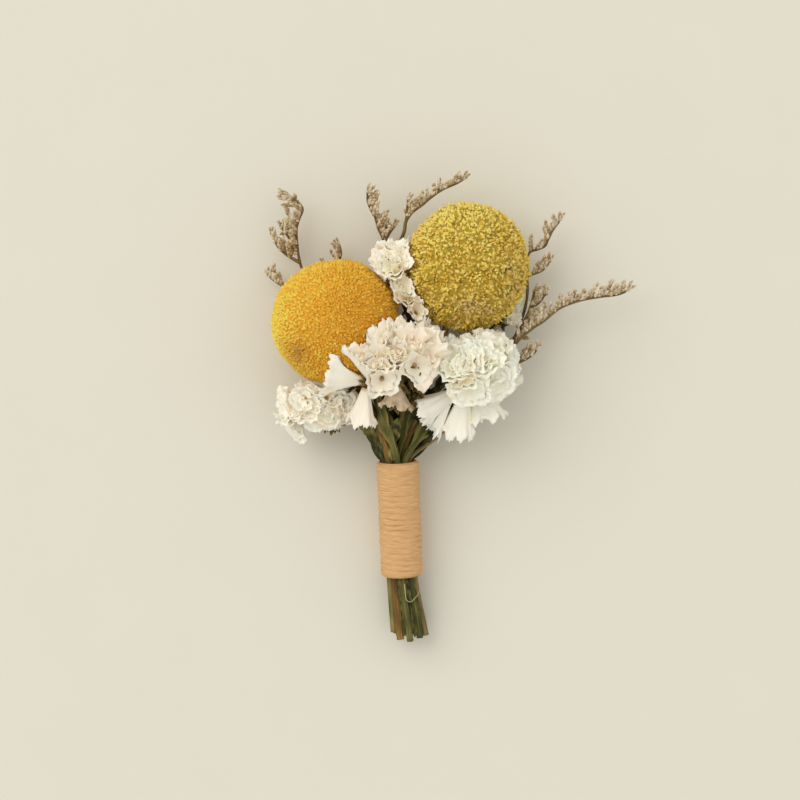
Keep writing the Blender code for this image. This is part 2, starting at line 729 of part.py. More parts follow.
    spray("sea_lavender_spray_left", [
        (trunks["left"], 0.9, 0.34, 4, 16.0, (-1, 0.4, 0.35), 10, 4.6),
        ([(-24.7, 34.0, 5.3), (-27.7, 35.7, 5.9), (-30.2, 38.0, 6.4), (-31.4, 40.4, 6.8)],
         0.5, 0.34, 3, 7.2, (-0.2, 1, 0.4), 5, 4.0),
        ([(-25.4, 38.3, 6.3), (-27.4, 40.2, 7.0), (-29.0, 42.2, 7.5)],
         0.45, 0.34, 3, 4.0, (0.3, 1, 0.4), 3, 3.8),
        ([(-19.2, 29.7, 3.0), (-24.0, 28.6, 3.2), (-28.5, 28.2, 3.6), (-30.6, 29.2, 4.0),
          (-32.2, 30.4, 4.4)],
         0.5, 0.32, 3, 4.6, (-0.1, 1, 0.4), 4, 3.6),
        ([(-13.4, 28.9, 1.9), (-15.4, 32.0, 3.4), (-15.1, 34.4, 4.5), (-14.6, 36.4, 5.1),
          (-15.0, 38.4, 5.6)],
         0.45, 0.32, 3, 4.2, (-1, 0.5, 0.3), 4, 3.0),
        ([(-17.0, 29.4, 2.5), (-18.3, 32.4, 3.6), (-18.8, 34.2, 4.2)],
         0.42, 0.3, 3, 1.0, (-1, 0.3, 0.3), 0, 2.2),
    ], beige, 21)

    spray("sea_lavender_spray_top", [
        (trunks["top"], 0.9, 0.34, 4, 12.0, (1, 0.5, 0.35), 8, 4.0),
        ([(-4.0, 38.4, 8.0), (-2.6, 41.0, 9.2), (-1.2, 42.8, 9.7)],
         0.42, 0.32, 3, 2.6, (-0.4, 1, 0.3), 2, 3.0),
        ([(-3.4, 34.0, 5.8), (-0.8, 37.6, 8.0), (1.0, 41.3, 9.8), (1.5, 44.0, 10.5), (2.9, 46.0, 11.0),
          (5.2, 47.7, 11.6), (7.9, 49.9, 12.2), (10.6, 51.6, 12.8), (13.5, 52.8, 13.4), (15.4, 53.8, 13.8)],
         0.6, 0.34, 3, 17.0, (-0.4, 1, 0.3), 10, 4.0),
        ([(1.6, 44.4, 10.6), (1.7, 46.6, 11.0), (1.9, 48.8, 11.4)],
         0.42, 0.32, 3, 3.8, (1, 0.6, 0.3), 3, 3.4),
    ], beige, 22)

    spray("sea_lavender_spray_upper_right", [
        (trunks["upper_right"], 0.9, 0.34, 4, 10.8, (-0.4, 1, 0.3), 6, 3.6),
        ([(31.3, 30.6, 8.2), (33.3, 31.2, 9.0), (35.2, 32.0, 9.3), (36.6, 33.6, 9.7)],
         0.45, 0.32, 3, 4.6, (-0.1, 1, 0.4), 5, 3.6),
        ([(26.8, 13.2, 6.1), (29.2, 16.6, 8.2), (31.6, 21.4, 9.6), (32.6, 24.8, 10.2), (32.9, 26.4, 10.4)],
         0.8, 0.36, 4, 6.5, (0.8, 0.7, 0.4), 4, 3.8),
        ([(31.9, 22.4, 9.8), (34.2, 24.0, 10.4), (35.6, 25.8, 10.8)],
         0.42, 0.32, 3, 3.6, (-0.5, 1, 0.4), 3, 3.4),
    ], beige, 23)

    spray("sea_lavender_spray_lower_right", [
        (trunks["lower_right"], 0.9, 0.34, 4, 29.0, (-0.5, 1, 0.3), 15, 4.1),
        ([(25.4, 8.8, 9.4), (29.0, 9.2, 9.0), (32.2, 10.8, 9.3), (33.6, 12.2, 9.6)],
         0.5, 0.34, 3, 5.6, (-0.4, 1, 0.4), 5, 3.6),
    ], beige, 24)

    # Statice bunches. Planes keep neighbouring bunches apart.
    heads = [head_fence(LEFT_HEAD), head_fence(RIGHT_HEAD), FLOOR_FENCE]
    centre_left_place, centre_left_way = (-11.8, 0.0, 18.0), Vector((1.0, 0.25, 1.2))
    centre_right_place, centre_right_way = (7.6, 6.0, 20.0), Vector((-1.0, 0.4, 0.4))
    keep_centre = [
        plane_fence(centre_left_place, centre_left_way),
        plane_fence(centre_right_place, centre_right_way),
    ]
    keep_left = plane_fence(centre_left_place, -centre_left_way)
    keep_right = plane_fence(centre_right_place, -centre_right_way)
    all_stems = list(stem_paths.values())

    # Centre bunch, leaning over the left ball
    centre_florets = [
        ((-8.9, 4.6, 21.0), (-17.4, 7.2, 24.8), 5.6, 2.8, 10),
        ((-7.5, 5.6, 22.0), (-9.3, 12.6, 29.0), 3.8, 2.4, 0),
        ((-3.0, 7.4, 21.8), (-3.4, 16.4, 26.6), 5.0, 3.2, 0),
        ((1.0, 8.8, 21.8), (3.2, 17.4, 25.2), 5.4, 3.2, 0),
        ((-4.6, 5.4, 22.4), (-4.0, 4.8, 29.0), 4.0, 3.6, 20),
        ((-8.2, 3.2, 20.6), (-9.4, -5.4, 20.8), 3.3, 1.8, 0),
        ((2.6, 8.0, 22.2), (4.8, 8.6, 27.0), 5.4, 4.2, 0),
        ((-1.2, 4.6, 20.0), (-1.0, -2.0, 20.2), 3.8, 2.0, 0),
        ((4.4, 9.2, 21.4), (10.2, 15.4, 23.8), 5.2, 3.6, 0),
        ((-3.2, 7.4, 22.2), (-3.0, 10.6, 29.4), 4.4, 3.6, 45),
        ((0.6, 8.4, 22.4), (0.6, 12.8, 28.2), 4.4, 3.4, 20),
    ]
    fences = [*heads, *keep_centre, *stem_fences(all_stems, centre_core)]
    statice_bunch("statice_florets_centre", centre_core, centre_florets, fences, petal, 100)

    # Right bunch, in front of the right ball
    right_florets = [
        ((15.2, 6.8, 18.0), (14.4, 15.0, 22.2), 4.6, 3.2, 0),
        ((21.2, 9.8, 17.0), (23.0, 15.4, 20.4), 4.6, 3.2, 0),
        ((18.6, 7.6, 18.2), (19.4, 10.0, 25.8), 4.8, 4.2, 10),
        ((23.6, 8.6, 16.4), (27.8, 8.2, 18.4), 5.2, 3.6, 20),
        ((22.6, 6.8, 15.8), (25.8, 1.6, 17.0), 4.6, 3.2, 10),
        ((20.0, 4.8, 15.8), (21.0, -5.2, 15.6), 4.8, 3.0, 10),
        ((16.4, 3.4, 16.4), (13.6, -8.0, 15.4), 3.8, 2.1, 0),
        ((13.6, 2.2, 17.8), (4.4, -3.0, 19.6), 3.8, 2.3, 20),
        ((12.4, 1.4, 16.8), (8.1, -7.8, 16.9), 1.7, 1.3, 0),
        ((14.2, 6.0, 18.4), (13.4, 8.8, 25.2), 4.8, 4.2, 40),
        ((17.0, 4.8, 18.2), (16.6, 2.4, 25.0), 4.8, 4.4, 0),
        ((21.6, 6.4, 17.6), (23.8, 4.6, 23.8), 4.6, 4.0, 30),
    ]
    fences = [*heads, keep_right, *stem_fences(all_stems, right_core)]
    statice_bunch("statice_florets_right", right_core, right_florets, fences, petal, 200)

    # Lower left bunch, below the left ball
    left_florets = [
        ((-20.4, 0.4, 13.0), (-21.4, 3.8, 17.8), 3.2, 2.4, 0),
        ((-21.6, -1.2, 13.2), (-22.8, -1.2, 19.0), 4.0, 3.6, 0),
        ((-24.6, -1.6, 12.0), (-28.8, -1.4, 14.0), 4.4, 3.4, 20),
        ((-23.8, -3.2, 11.4), (-27.2, -7.6, 12.0), 4.4, 3.2, 10),
        ((-15.6, -0.8, 14.0), (-14.6, -1.8, 18.8), 3.8, 3.4, 0),
        ((-19.4, -2.4, 13.2), (-20.2, -5.0, 17.4), 3.8, 3.2, 0),
        ((-17.6, -2.6, 12.4), (-16.8, -6.4, 13.4), 3.4, 2.0, 0),
        ((-21.6, -1.4, 10.4), (-23.2, -2.4, 4.8), 3.4, 3.0, 0),
        ((-15.2, -0.8, 13.2), (-11.6, -2.4, 16.8), 3.6, 2.6, 0),
    ]
    fences = [*heads, keep_left, *stem_fences(all_stems, left_core)]
    statice_bunch("statice_florets_left", left_core, left_florets, fences, petal, 300)

    # Back bunch, squeezed between the two balls
    back_florets = [
        ((-0.4, 32.2, 13.2), (-0.4, 38.2, 16.8), 4.2, 3.0, 0),
        ((-1.6, 31.0, 13.4), (-5.8, 34.6, 18.2), 3.8, 2.8, 60),
        ((-0.2, 30.0, 14.0), (-1.2, 33.2, 22.0), 4.4, 3.6, 0),
        ((3.8, 20.4, 13.4), (4.4, 22.9, 20.4), 4.2, 2.0, 110),
        ((1.6, 25.2, 13.8), (0.4, 28.6, 21.6), 4.2, 2.2, 110),
        ((0.4, 30.6, 11.4), (1.6, 34.6, 7.4), 2.6, 2.0, 0),
    ]
    fences = [*heads, *stem_fences(all_stems, back_core)]
    statice_bunch("statice_florets_back", back_core, back_florets, fences, petal, 400)

    # A small bunch beneath the right ball's lower edge
    low_florets = [
        ((26.6, 20.0, 5.6), (29.4, 25.4, 4.6), 2.4, 1.7, 0),
        ((26.0, 19.4, 7.2), (28.0, 20.6, 11.0), 2.0, 1.5, 0),
        ((24.6, 18.4, 6.2), (23.4, 14.8, 9.2), 2.6, 2.0, 0),
    ]
    fences = [*heads, *stem_fences(all_stems, low_core)]
    statice_bunch("statice_florets_low_right", low_core, low_florets, fences, petal, 500)

    binding_thread(peach, 31)


def move_origin_under_the_middle():
    """Puts the origin on the surface, below the middle of the corsage's box."""
    bpy.context.view_layer.update()
    shapes = [item for item in bpy.context.scene.objects if item.type == "MESH"]
    corners = [vert.co for item in shapes for vert in item.data.vertices]
    middle = Vector((
        (min(c.x for c in corners) + max(c.x for c in corners)) / 2,
        (min(c.y for c in corners) + max(c.y for c in corners)) / 2,
        min(c.z for c in corners),
    ))
    for item in shapes:
        item.data.transform(Matrix.Translation(-middle))
    return middle


def shade_smooth():
    for item in bpy.context.scene.objects:
        item.data.shade_smooth()
        item.data.set_sharp_from_angle(angle=math.radians(50))


clear_scene()
build_corsage()
move_origin_under_the_middle()
shade_smooth()
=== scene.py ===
import math
import random

import bpy
import numpy as np
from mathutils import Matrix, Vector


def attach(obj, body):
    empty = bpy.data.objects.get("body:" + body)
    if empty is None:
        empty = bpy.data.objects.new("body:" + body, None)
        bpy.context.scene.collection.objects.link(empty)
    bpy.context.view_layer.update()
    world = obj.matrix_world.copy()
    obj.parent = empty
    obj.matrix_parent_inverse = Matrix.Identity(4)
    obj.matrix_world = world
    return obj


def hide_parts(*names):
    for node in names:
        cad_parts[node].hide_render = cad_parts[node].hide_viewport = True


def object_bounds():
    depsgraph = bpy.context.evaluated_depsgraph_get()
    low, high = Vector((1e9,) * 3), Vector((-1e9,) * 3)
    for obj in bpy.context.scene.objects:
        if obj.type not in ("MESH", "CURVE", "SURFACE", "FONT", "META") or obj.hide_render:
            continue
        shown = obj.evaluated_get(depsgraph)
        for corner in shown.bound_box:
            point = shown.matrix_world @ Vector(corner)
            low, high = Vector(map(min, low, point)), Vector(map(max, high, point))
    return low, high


# Dried flower corsage: the frame's solids dressed with finer flowers, stems and thread. Lengths are in
# millimetres and places in the design's own frame; makePiece turns both into the frame's metres.

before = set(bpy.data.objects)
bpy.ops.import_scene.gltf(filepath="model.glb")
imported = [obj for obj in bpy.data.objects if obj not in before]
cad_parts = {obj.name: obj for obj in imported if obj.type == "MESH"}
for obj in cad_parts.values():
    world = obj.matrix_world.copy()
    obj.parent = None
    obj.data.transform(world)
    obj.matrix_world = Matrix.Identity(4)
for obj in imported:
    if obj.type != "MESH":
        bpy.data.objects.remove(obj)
cadLow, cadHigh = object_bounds()
scene = bpy.context.scene
print("frame:", len(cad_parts), "solids")

frameShift = np.array([-11.9528, 1.7753, 0.0])  # from the design's origin to the frame's
up = np.array([0.0, 0.0, 1.0])
fullTurn = 2 * math.pi


# Small maths.

# Each vector divided by its length.
def unit(v):
    v = np.asarray(v, float)
    return v / np.maximum(np.linalg.norm(v, axis=-1, keepdims=True), 1e-9)


# 0 below low, 1 above high, and 3t² - 2t³ between.
def smoothStep(low, high, x):
    t = np.clip((x - low) / (high - low), 0, 1)
    return t * t * (3 - 2 * t)


# A soft cloud of values, mostly between -1 and 1: nine sine waves with random ways and turns, added up.
def cloud(points, size, seed):
    draw = np.random.default_rng(seed)
    ways = unit(draw.normal(size=(9, 3))) * draw.uniform(0.6, 1.6, (9, 1)) * fullTurn / size
    return np.sin(points @ ways.T + draw.uniform(0, fullTurn, 9)).sum(axis=-1) / 3.4


# Angles at even steps round a ring.
def anglesRound(count):
    return fullTurn * np.arange(count) / count


# The way at each angle from the first way towards the second: first cos a + second sin a.
def wayRound(first, second, angle):
    return first * np.cos(angle)[..., None] + second * np.sin(angle)[..., None]


# Directions spread evenly over a ball: heights step down evenly while the angle turns by the golden angle.
def spiralDirections(count):
    number = np.arange(count)
    height = 1 - 2 * (number + 0.5) / count
    ring, turn = np.sqrt(1 - height**2), math.pi * (3 - math.sqrt(5)) * number
    return np.stack([ring * np.cos(turn), ring * np.sin(turn), height], axis=-1)


# Paths.

# A smooth curve through the points (centripetal Catmull-Rom), then points along it at even steps.
def curveThrough(points, step=0.6):
    points = np.asarray(points, float)
    ends = np.vstack([2 * points[0] - points[1], points, 2 * points[-1] - points[-2]])
    p0, p1, p2, p3 = (ends[i : len(ends) - 3 + i, None] for i in range(4))
    k1 = np.sqrt(np.linalg.norm(p1 - p0, axis=-1, keepdims=True))
    k2 = k1 + np.sqrt(np.linalg.norm(p2 - p1, axis=-1, keepdims=True))
    k3 = k2 + np.sqrt(np.linalg.norm(p3 - p2, axis=-1, keepdims=True))
    k = k1 + (k2 - k1) * (np.arange(12) / 12)[None, :, None]
    a1 = p0 + (p1 - p0) * k / k1
    a2 = p1 + (p2 - p1) * (k - k1) / (k2 - k1)
    a3 = p2 + (p3 - p2) * (k - k2) / (k3 - k2)
    b1 = a1 + (a2 - a1) * k / k2
    b2 = a2 + (a3 - a2) * (k - k1) / (k3 - k1)
    curve = np.vstack([(b1 + (b2 - b1) * (k - k1) / (k2 - k1)).reshape(-1, 3), points[-1]])
    length = lengthsAlong(curve)
    even = np.linspace(0, length[-1], max(3, int(length[-1] / step)))
    return np.stack([np.interp(even, length, curve[:, i]) for i in range(3)], axis=-1)


# The distance of each point of a path from its start.
def lengthsAlong(path):
    return np.concatenate([[0], np.cumsum(np.linalg.norm(np.diff(path, axis=0), axis=-1))])


# The same as a share of the whole, one row for each point.
def sharesAlong(path):
    length = lengthsAlong(path)
    return (length / length[-1])[:, None]


# Tangent, side and third way at each point of a path, the side carried along and kept square to the tangent.
def framesAlong(path, side):
    tangents, sides = unit(np.gradient(path, axis=0)), []
    side = np.asarray(side, float)
    for tangent in tangents:
        side = unit(side - tangent * (side @ tangent))
        sides.append(side)
    return tangents, np.array(sides), np.cross(tangents, sides)


# Rings of a tube: centre + (side cos a + third sin a) * radius, the radius given for each ring and angle.
def tubeRings(path, side, radius, around, turn=0.0):
    _, sides, thirds = framesAlong(path, side)
    angle = anglesRound(around) + np.reshape(turn, (-1, 1))
    ways = wayRound(sides[:, None], thirds[:, None], angle)
    return path[:, None] + ways * np.broadcast_to(radius, (len(path), around))[..., None]


# Meshes.

# Closed shells from rings, an array (shells, rings, points round, 3): neighbouring rings are joined by
# four-sided faces, and each end closes on the middle of its ring, or the last ring joins the first.
def shells(rings, looped=False, **values):
    count, rows, around, _ = rings.shape
    here, row = np.arange(around), np.arange(rows if looped else rows - 1)[:, None] * around
    after, above = (here + 1) % around, (row + around) % (rows * around)
    quads = np.stack(np.broadcast_arrays(row + here, row + after, above + after, above + here), axis=-1)
    points, size = rings.reshape(count, -1, 3), rows * around
    flat = {
        key: np.broadcast_to(value, rings.shape[:3] + np.shape(value)[3:]).reshape(count, size, -1)
        for key, value in values.items()
    }
    tris = np.zeros((0, 3), int)
    if not looped:
        last = size - around
        first = np.stack([after, here, np.full(around, size)], axis=-1)
        final = np.stack([last + here, last + after, np.full(around, size + 1)], axis=-1)
        tris = np.vstack([first, final])
        points = np.concatenate([points, rings[:, [0, -1]].mean(axis=2)], axis=1)
        flat = {key: np.concatenate([mark, mark[:, [0, last]]], axis=1) for key, mark in flat.items()}
    step = np.arange(count)[:, None, None] * points.shape[1]
    return {
        "points": points.reshape(-1, 3),
        "quads": (quads.reshape(1, -1, 4) + step).reshape(-1, 4),
        "tris": (tris[None] + step).reshape(-1, 3),
        "marks": {key: mark.reshape(len(points) * points.shape[1], -1) for key, mark in flat.items()},
    }


# A mark of one value for all points.
def evenMark(value):
    return np.full((1, 1, 1, 1), float(value))


# A mark of one value for each ring.
def ringMark(values):
    return np.array(values, float)[None, :, None, None]


# A mark of one value for each shell.
def shellMark(values):
    return values[:, None, None, None]


# An object that shows the data, put in the scene.
def placed(name, data):
    thing = bpy.data.objects.new(name, data)
    scene.collection.objects.link(thing)
    return thing


triangles = {}


# One object from several shells, each with its material's number, in metres on the frame.
def makePiece(name, parts, materials, replaced=()):
    points = np.vstack([part["points"] for part, _ in parts])
    starts = np.cumsum([0] + [len(part["points"]) for part, _ in parts])
    quads = np.vstack([part["quads"] + start for (part, _), start in zip(parts, starts)])
    tris = np.vstack([part["tris"] + start for (part, _), start in zip(parts, starts)])
    slots = [np.full(len(part[faces]), slot) for faces in ("quads", "tris") for part, slot in parts]
    points[:, 2] = np.maximum(points[:, 2], 0.0)  # nothing sinks into the surface it lies on
    places = (points + frameShift) * 0.001
    mesh = bpy.data.meshes.new(name)
    mesh.vertices.add(len(points))
    mesh.vertices.foreach_set("co", places.astype(np.float32).ravel())
    corners = np.concatenate([quads.ravel(), tris.ravel()]).astype(np.int32)
    sizes = np.concatenate([np.full(len(quads), 4), np.full(len(tris), 3)])
    mesh.loops.add(len(corners))
    mesh.loops.foreach_set("vertex_index", corners)
    mesh.polygons.add(len(sizes))
    mesh.polygons.foreach_set("loop_start", np.concatenate([[0], np.cumsum(sizes)[:-1]]).astype(np.int32))
    mesh.polygons.foreach_set("material_index", np.concatenate(slots).astype(np.int32))
    mesh.polygons.foreach_set("use_smooth", np.ones(len(sizes), bool))
    mesh.update(calc_edges=True)
    for key in parts[0][0]["marks"]:
        mark = np.vstack([part["marks"][key] for part, _ in parts]).astype(np.float32)
        kind, field = ("FLOAT", "value") if mark.shape[1] == 1 else ("FLOAT_VECTOR", "vector")
        mesh.attributes.new(key, kind, "POINT").data.foreach_set(field, mark.ravel())
    for material in materials:
        mesh.materials.append(material)
    piece = placed(name, mesh)
    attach(piece, "root")
    if replaced:
        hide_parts(*replaced)
    triangles[name] = 2 * len(quads) + len(tris)


# Many small turned buds at once: root + way * height + (side cos a + third sin a * flat) * radius, both from
# the profile's (height, radius) pairs times the bud's size, then bent over by bend * height².
def turnedBuds(roots, ways, sizes, profile, around, seed, flat=1.0, bend=None):
    draw = np.random.default_rng(seed)
    profile, sizes = np.array(profile, float), np.asarray(sizes, float)[:, None, None, None]
    side = unit(np.cross(ways, unit(draw.normal(size=ways.shape))))
    third = np.cross(ways, side)[:, None, None]
    out = wayRound(side[:, None, None], third * flat, anglesRound(around)[None, None])
    height, radius = profile[None, :, None, :1] * sizes, profile[None, :, None, 1:] * sizes
    rings = roots[:, None, None] + ways[:, None, None] * height + out * radius
    if bend is not None:
        rings = rings + bend[:, None, None] * profile[None, :, None, :1] ** 2 * sizes
    return rings


# Materials.

# An sRGB hex colour as linear RGBA.
def ink(hexColour):
    parts = [int(hexColour[i : i + 2], 16) / 255 for i in (1, 3, 5)]
    return (*[p / 12.92 if p <= 0.04045 else ((p + 0.055) / 1.055) ** 2.4 for p in parts], 1.0)


# Adds one node with its settings; each input is a value, or another node's output to link.
def addNode(tree, kind, inputs=None, stops=None, **settings):
    node = tree.nodes.new(kind)
    for key, value in settings.items():
        setattr(node, key, value)
    for key, value in (inputs or {}).items():
        if isinstance(value, bpy.types.NodeSocket):
            tree.links.new(value, node.inputs[key])
        else:
            node.inputs[key].default_value = value
    if stops:
        while len(node.color_ramp.elements) < len(stops):
            node.color_ramp.elements.new(1.0)
        for element, (place, colour) in zip(node.color_ramp.elements, stops):
            element.position, element.color = place, ink(colour)
    return node


# A new material and its Principled shader, with the even values set on the shader's own sockets.
def newMaterial(name, **sockets):
    material = bpy.data.materials.new(name)
    material.use_nodes = True
    tree = material.node_tree
    shader = next(node for node in tree.nodes if node.type == "BSDF_PRINCIPLED")
    for key, value in sockets.items():
        shader.inputs[key.replace("_", " ")].default_value = value
    return material, tree, shader


# A mark of the mesh, as a material reads it.
def markOf(tree, name, output="Fac"):
    return addNode(tree, "ShaderNodeAttribute", attribute_name=name).outputs[output]


# The place on the piece, in metres.
def placeOn(tree):
    return addNode(tree, "ShaderNodeTexCoord").outputs["Object"]


# Soft noise at the place, with so many spots to the place's unit.
def noise(tree, place, scale, detail, **inputs):
    inputs = {"Vector": place, "Scale": scale, "Detail": detail, **inputs}
    return addNode(tree, "ShaderNodeTexNoise", inputs).outputs["Fac"]


# The values joined by one sum: ADD, MULTIPLY and so on.
def reckon(tree, operation, *values):
    return addNode(tree, "ShaderNodeMath", dict(enumerate(values)), operation=operation).outputs[0]


# 0 where the value is low, most where it is high, and even steps between.
def ramp(tree, value, low, high, most=1.0):
    inputs = {"Value": value, "From Min": low, "From Max": high, "To Max": most}
    return addNode(tree, "ShaderNodeMapRange", inputs).outputs[0]


# The under colour where the share is 0, the over colour where it is 1; each is a hex colour or an output.
def blend(tree, share, under, over):
    under, over = (ink(colour) if isinstance(colour, str) else colour for colour in (under, over))
    return addNode(tree, "ShaderNodeMix", {0: share, 6: under, 7: over}, data_type="RGBA").outputs[2]


# A colour that runs through the stops with the value.
def colours(tree, value, stops):
    return addNode(tree, "ShaderNodeValToRGB", {"Fac": value}, stops=stops).outputs[0]


# Colour and relief linked to the shader; the relief is as high as its value times the reach in metres.
def finishSkin(tree, shader, colour, relief, strength, reach):
    bump = addNode(tree, "ShaderNodeBump", {"Height": relief, "Strength": strength, "Distance": reach})
    tree.links.new(colour, shader.inputs["Base Color"])
    tree.links.new(bump.outputs[0], shader.inputs["Normal"])


# Craspedia: thousands of dry tubular florets packed in a ball. Matt and a little velvety, with painted shade
# in the creases between the florets and pale dry tips. depth is 0 at a floret's root and 1 at its tip, tone
# is its own shade with painted light and shade mixed in, fleck is how pale its tip is, and worn is 1 where
# the florets have faded or gone brown.
def craspediaFlorets(name, look):
    material, tree, shader = newMaterial(
        name, Roughness=0.9, Sheen_Weight=0.25, Sheen_Roughness=0.5, Sheen_Tint=ink(look["tip"]),
        Specular_IOR_Level=0.2,
    )
    grain = noise(tree, placeOn(tree), 1 / 0.0009, 3.0)
    shade = reckon(tree, "ADD", markOf(tree, "tone"), grain)
    body = colours(tree, reckon(tree, "SUBTRACT", shade, 0.5), look["bodies"])
    tipped = blend(tree, markOf(tree, "fleck"), body, look["tip"])
    faded = blend(tree, markOf(tree, "worn"), tipped, look["worn"])
    # Painted shade: the crease colour at the florets' roots, giving way to their own colour towards the tips.
    full = blend(tree, ramp(tree, markOf(tree, "depth"), 0.05, 0.75), look["creaseShade"], faded)
    finishSkin(tree, shader, full, grain, 0.5, 0.0002)
    return material


# Statice calyx: thin dry paper, matt and ribbed from throat to rim. White with a blush, browner at the
# throat. along is 0 at the throat and 1 at the rim, the brown tint mark is how far a floret is tinted brown:
# partly its own browning, partly painted shade on florets that lie low or in the shadow of others; streak
# turns with the floret.
def staticePaper():
    material, tree, shader = newMaterial("StaticePaperyCalyx", Roughness=0.65, Specular_IOR_Level=0.25)
    ribs = noise(tree, markOf(tree, "streak", "Vector"), 9.0, 4.0, Roughness=0.6)
    stain = noise(tree, placeOn(tree), 1 / 0.004, 3.0)
    white = blend(tree, markOf(tree, "blush"), "#fdfef2", "#fff0da")
    stained = blend(tree, ramp(tree, stain, 0.52, 0.8, 0.35), white, "#fbf5e2")
    veined = blend(tree, ramp(tree, ribs, 0.45, 0.75, 0.5), stained, "#fbf7ea")
    # Painted shade and browning: florets that lie low under others or in their shadow are tinted brown.
    brownedAndShaded = blend(tree, markOf(tree, "browningAndShade"), veined, "#b8935c")
    full = blend(tree, ramp(tree, markOf(tree, "along"), 0.16, 0.02), brownedAndShaded, "#bf9054")
    finishSkin(tree, shader, full, ribs, 0.6, 0.00025)
    return material


# Dry stalk: fibrous, dull, streaked lengthwise. tone picks the stalk's own colour, pith is 1 on a cut end.
def driedStalk(name, pith, stops):
    material, tree, shader = newMaterial(name, Roughness=0.7, Specular_IOR_Level=0.3)
    fibre = noise(tree, markOf(tree, "streak", "Vector"), 3.0, 4.0)
    shade = reckon(tree, "MULTIPLY_ADD", reckon(tree, "SUBTRACT", fibre, 0.5), 1.3, markOf(tree, "tone"))
    full = blend(tree, markOf(tree, "pith"), colours(tree, shade, stops), pith)
    finishSkin(tree, shader, full, fibre, 0.7, 0.0002)
    return material


# Dry husk: thin brown scales and buds, dull, paler towards their tips. depth is 0 at the root and 1 at the
# tip, tone is how pale a scale has dried.
def dryHusk(name, root, tip, pale):
    material, tree, shader = newMaterial(name, Roughness=0.8, Specular_IOR_Level=0.25)
    grain = noise(tree, placeOn(tree), 1 / 0.0007, 3.0)
    scale = blend(tree, markOf(tree, "depth"), root, tip)
    full = blend(tree, reckon(tree, "MULTIPLY", markOf(tree, "tone"), grain), scale, pale)
    finishSkin(tree, shader, full, grain, 0.5, 0.0002)
    return material


# Cotton floss: many loose fibres side by side along the thread, with a soft sheen and painted shade in the
# grooves between the turns. streak runs along the thread, groove is 1 between two turns, where shade is
# painted.
def cottonFloss():
    material, tree, shader = newMaterial(
        "CottonFlossPeach", Roughness=0.75, Sheen_Weight=0.15, Sheen_Roughness=0.5, Sheen_Tint=ink("#f2d3a6"),
        Specular_IOR_Level=0.25,
    )
    fibre = noise(tree, markOf(tree, "streak", "Vector"), 1.0, 3.0)
    strand = colours(tree, fibre, [(0.25, "#c59662"), (0.5, "#d4a773"), (0.8, "#e4be8c")])
    # Painted shade: a darker colour in the grooves between the turns and inside the sleeve.
    full = blend(tree, markOf(tree, "groove"), strand, "#ad7b46")
    finishSkin(tree, shader, full, fibre, 0.5, 0.00015)
    return material


# The crease colour of each ball is shade painted between the florets' roots.
goldenFlorets = craspediaFlorets("CraspediaFloretsGolden", {
    "bodies": [(0.1, "#e0a634"), (0.45, "#f4c03e"), (0.85, "#f8e262")],
    "creaseShade": "#dca234", "tip": "#fbd66c", "worn": "#b8924e",
})
oliveFlorets = craspediaFlorets("CraspediaFloretsOlive", {
    "bodies": [(0.05, "#b79a30"), (0.45, "#f3ca48"), (0.8, "#fce674")],
    "creaseShade": "#9f8a30", "tip": "#fce8a6", "worn": "#d9b98c",
})
paper = staticePaper()
stalkGreen = driedStalk("StaticeStalkDried", "#a8935c", [
    (0.1, "#24240e"), (0.4, "#45451e"), (0.65, "#67662f"), (0.95, "#96824c"),
])
stalkBrown = driedStalk("CraspediaStalkDried", "#bda46e", [
    (0.1, "#43300f"), (0.4, "#694c1e"), (0.7, "#8f6d34"), (0.95, "#b39a5e"),
])
stalkBeige = driedStalk("SeaLavenderStalkDried", "#c4ae7c", [
    (0.1, "#55472a"), (0.45, "#77643c"), (0.75, "#978356"), (0.95, "#b7a476"),
])
lavenderHusk = dryHusk("SeaLavenderHusk", "#664c2a", "#cfb88c", "#f6ecd6")
staticeHusk = dryHusk("StaticeGreenHusk", "#3b3018", "#7d6a38", "#b09a62")
floss = cottonFloss()
print("materials made")


# The bundle, as in the frame's source.

bundle = {
    "cut": np.array([2.6, -59.0, 4.55]), "foot": np.array([0.5, -43.2, 6.2]),
    "top": np.array([-0.6, -15.0, 9.9]),
    "outerRing": 3.1, "innerRing": 1.09, "outerRadius": 0.9, "innerRadius": 0.78, "spread": 1.25,
    "belowFoot": 1.5, "insideEnds": 3, "beyondTop": 0.5,
}
forwardWay = unit(bundle["top"] - bundle["foot"])
rightWay = unit(np.cross(forwardWay, up))
upWay = np.cross(rightWay, forwardWay)


# A stem's place across the bundle: slots 0 to 8 stand clockwise in a ring from the top, 9 to 11 inside it.
def slotOffset(slot):
    angle = math.radians(90 - slot * 40 if slot < 9 else 90 - (slot - 9) * 120)
    return wayRound(rightWay, upWay, angle) * bundle["outerRing" if slot < 9 else "innerRing"]


# From the cut end through the binding, then along the given points.
def bundledPath(slot, cutBack, beyond):
    offset, below = slotOffset(slot), unit(bundle["cut"] - bundle["foot"])
    foot, top, inside = bundle["foot"] + offset, bundle["top"] + offset, forwardWay * bundle["insideEnds"]
    return np.array([
        bundle["cut"] - below * cutBack + offset * bundle["spread"], foot + below * bundle["belowFoot"],
        foot + inside, top - inside, top + forwardWay * bundle["beyondTop"], *beyond,
    ])


# The ends and the radius of a bunch's core.
def coreOf(bunch):
    start, end, radius = bunch["core"]
    return np.array(start), np.array(end), radius


# Keeping petals off their neighbours.

# The gaps kept to stalks and balls, the paper's wall, how soft each fence is and how far off a stem counts.
fence = {
    "gap": 0.4, "seatGap": 0.3, "wall": 0.62, "headSoft": 0.7, "planeSoft": 0.4, "stemSoft": 0.35,
    "reach": 15.0,
}


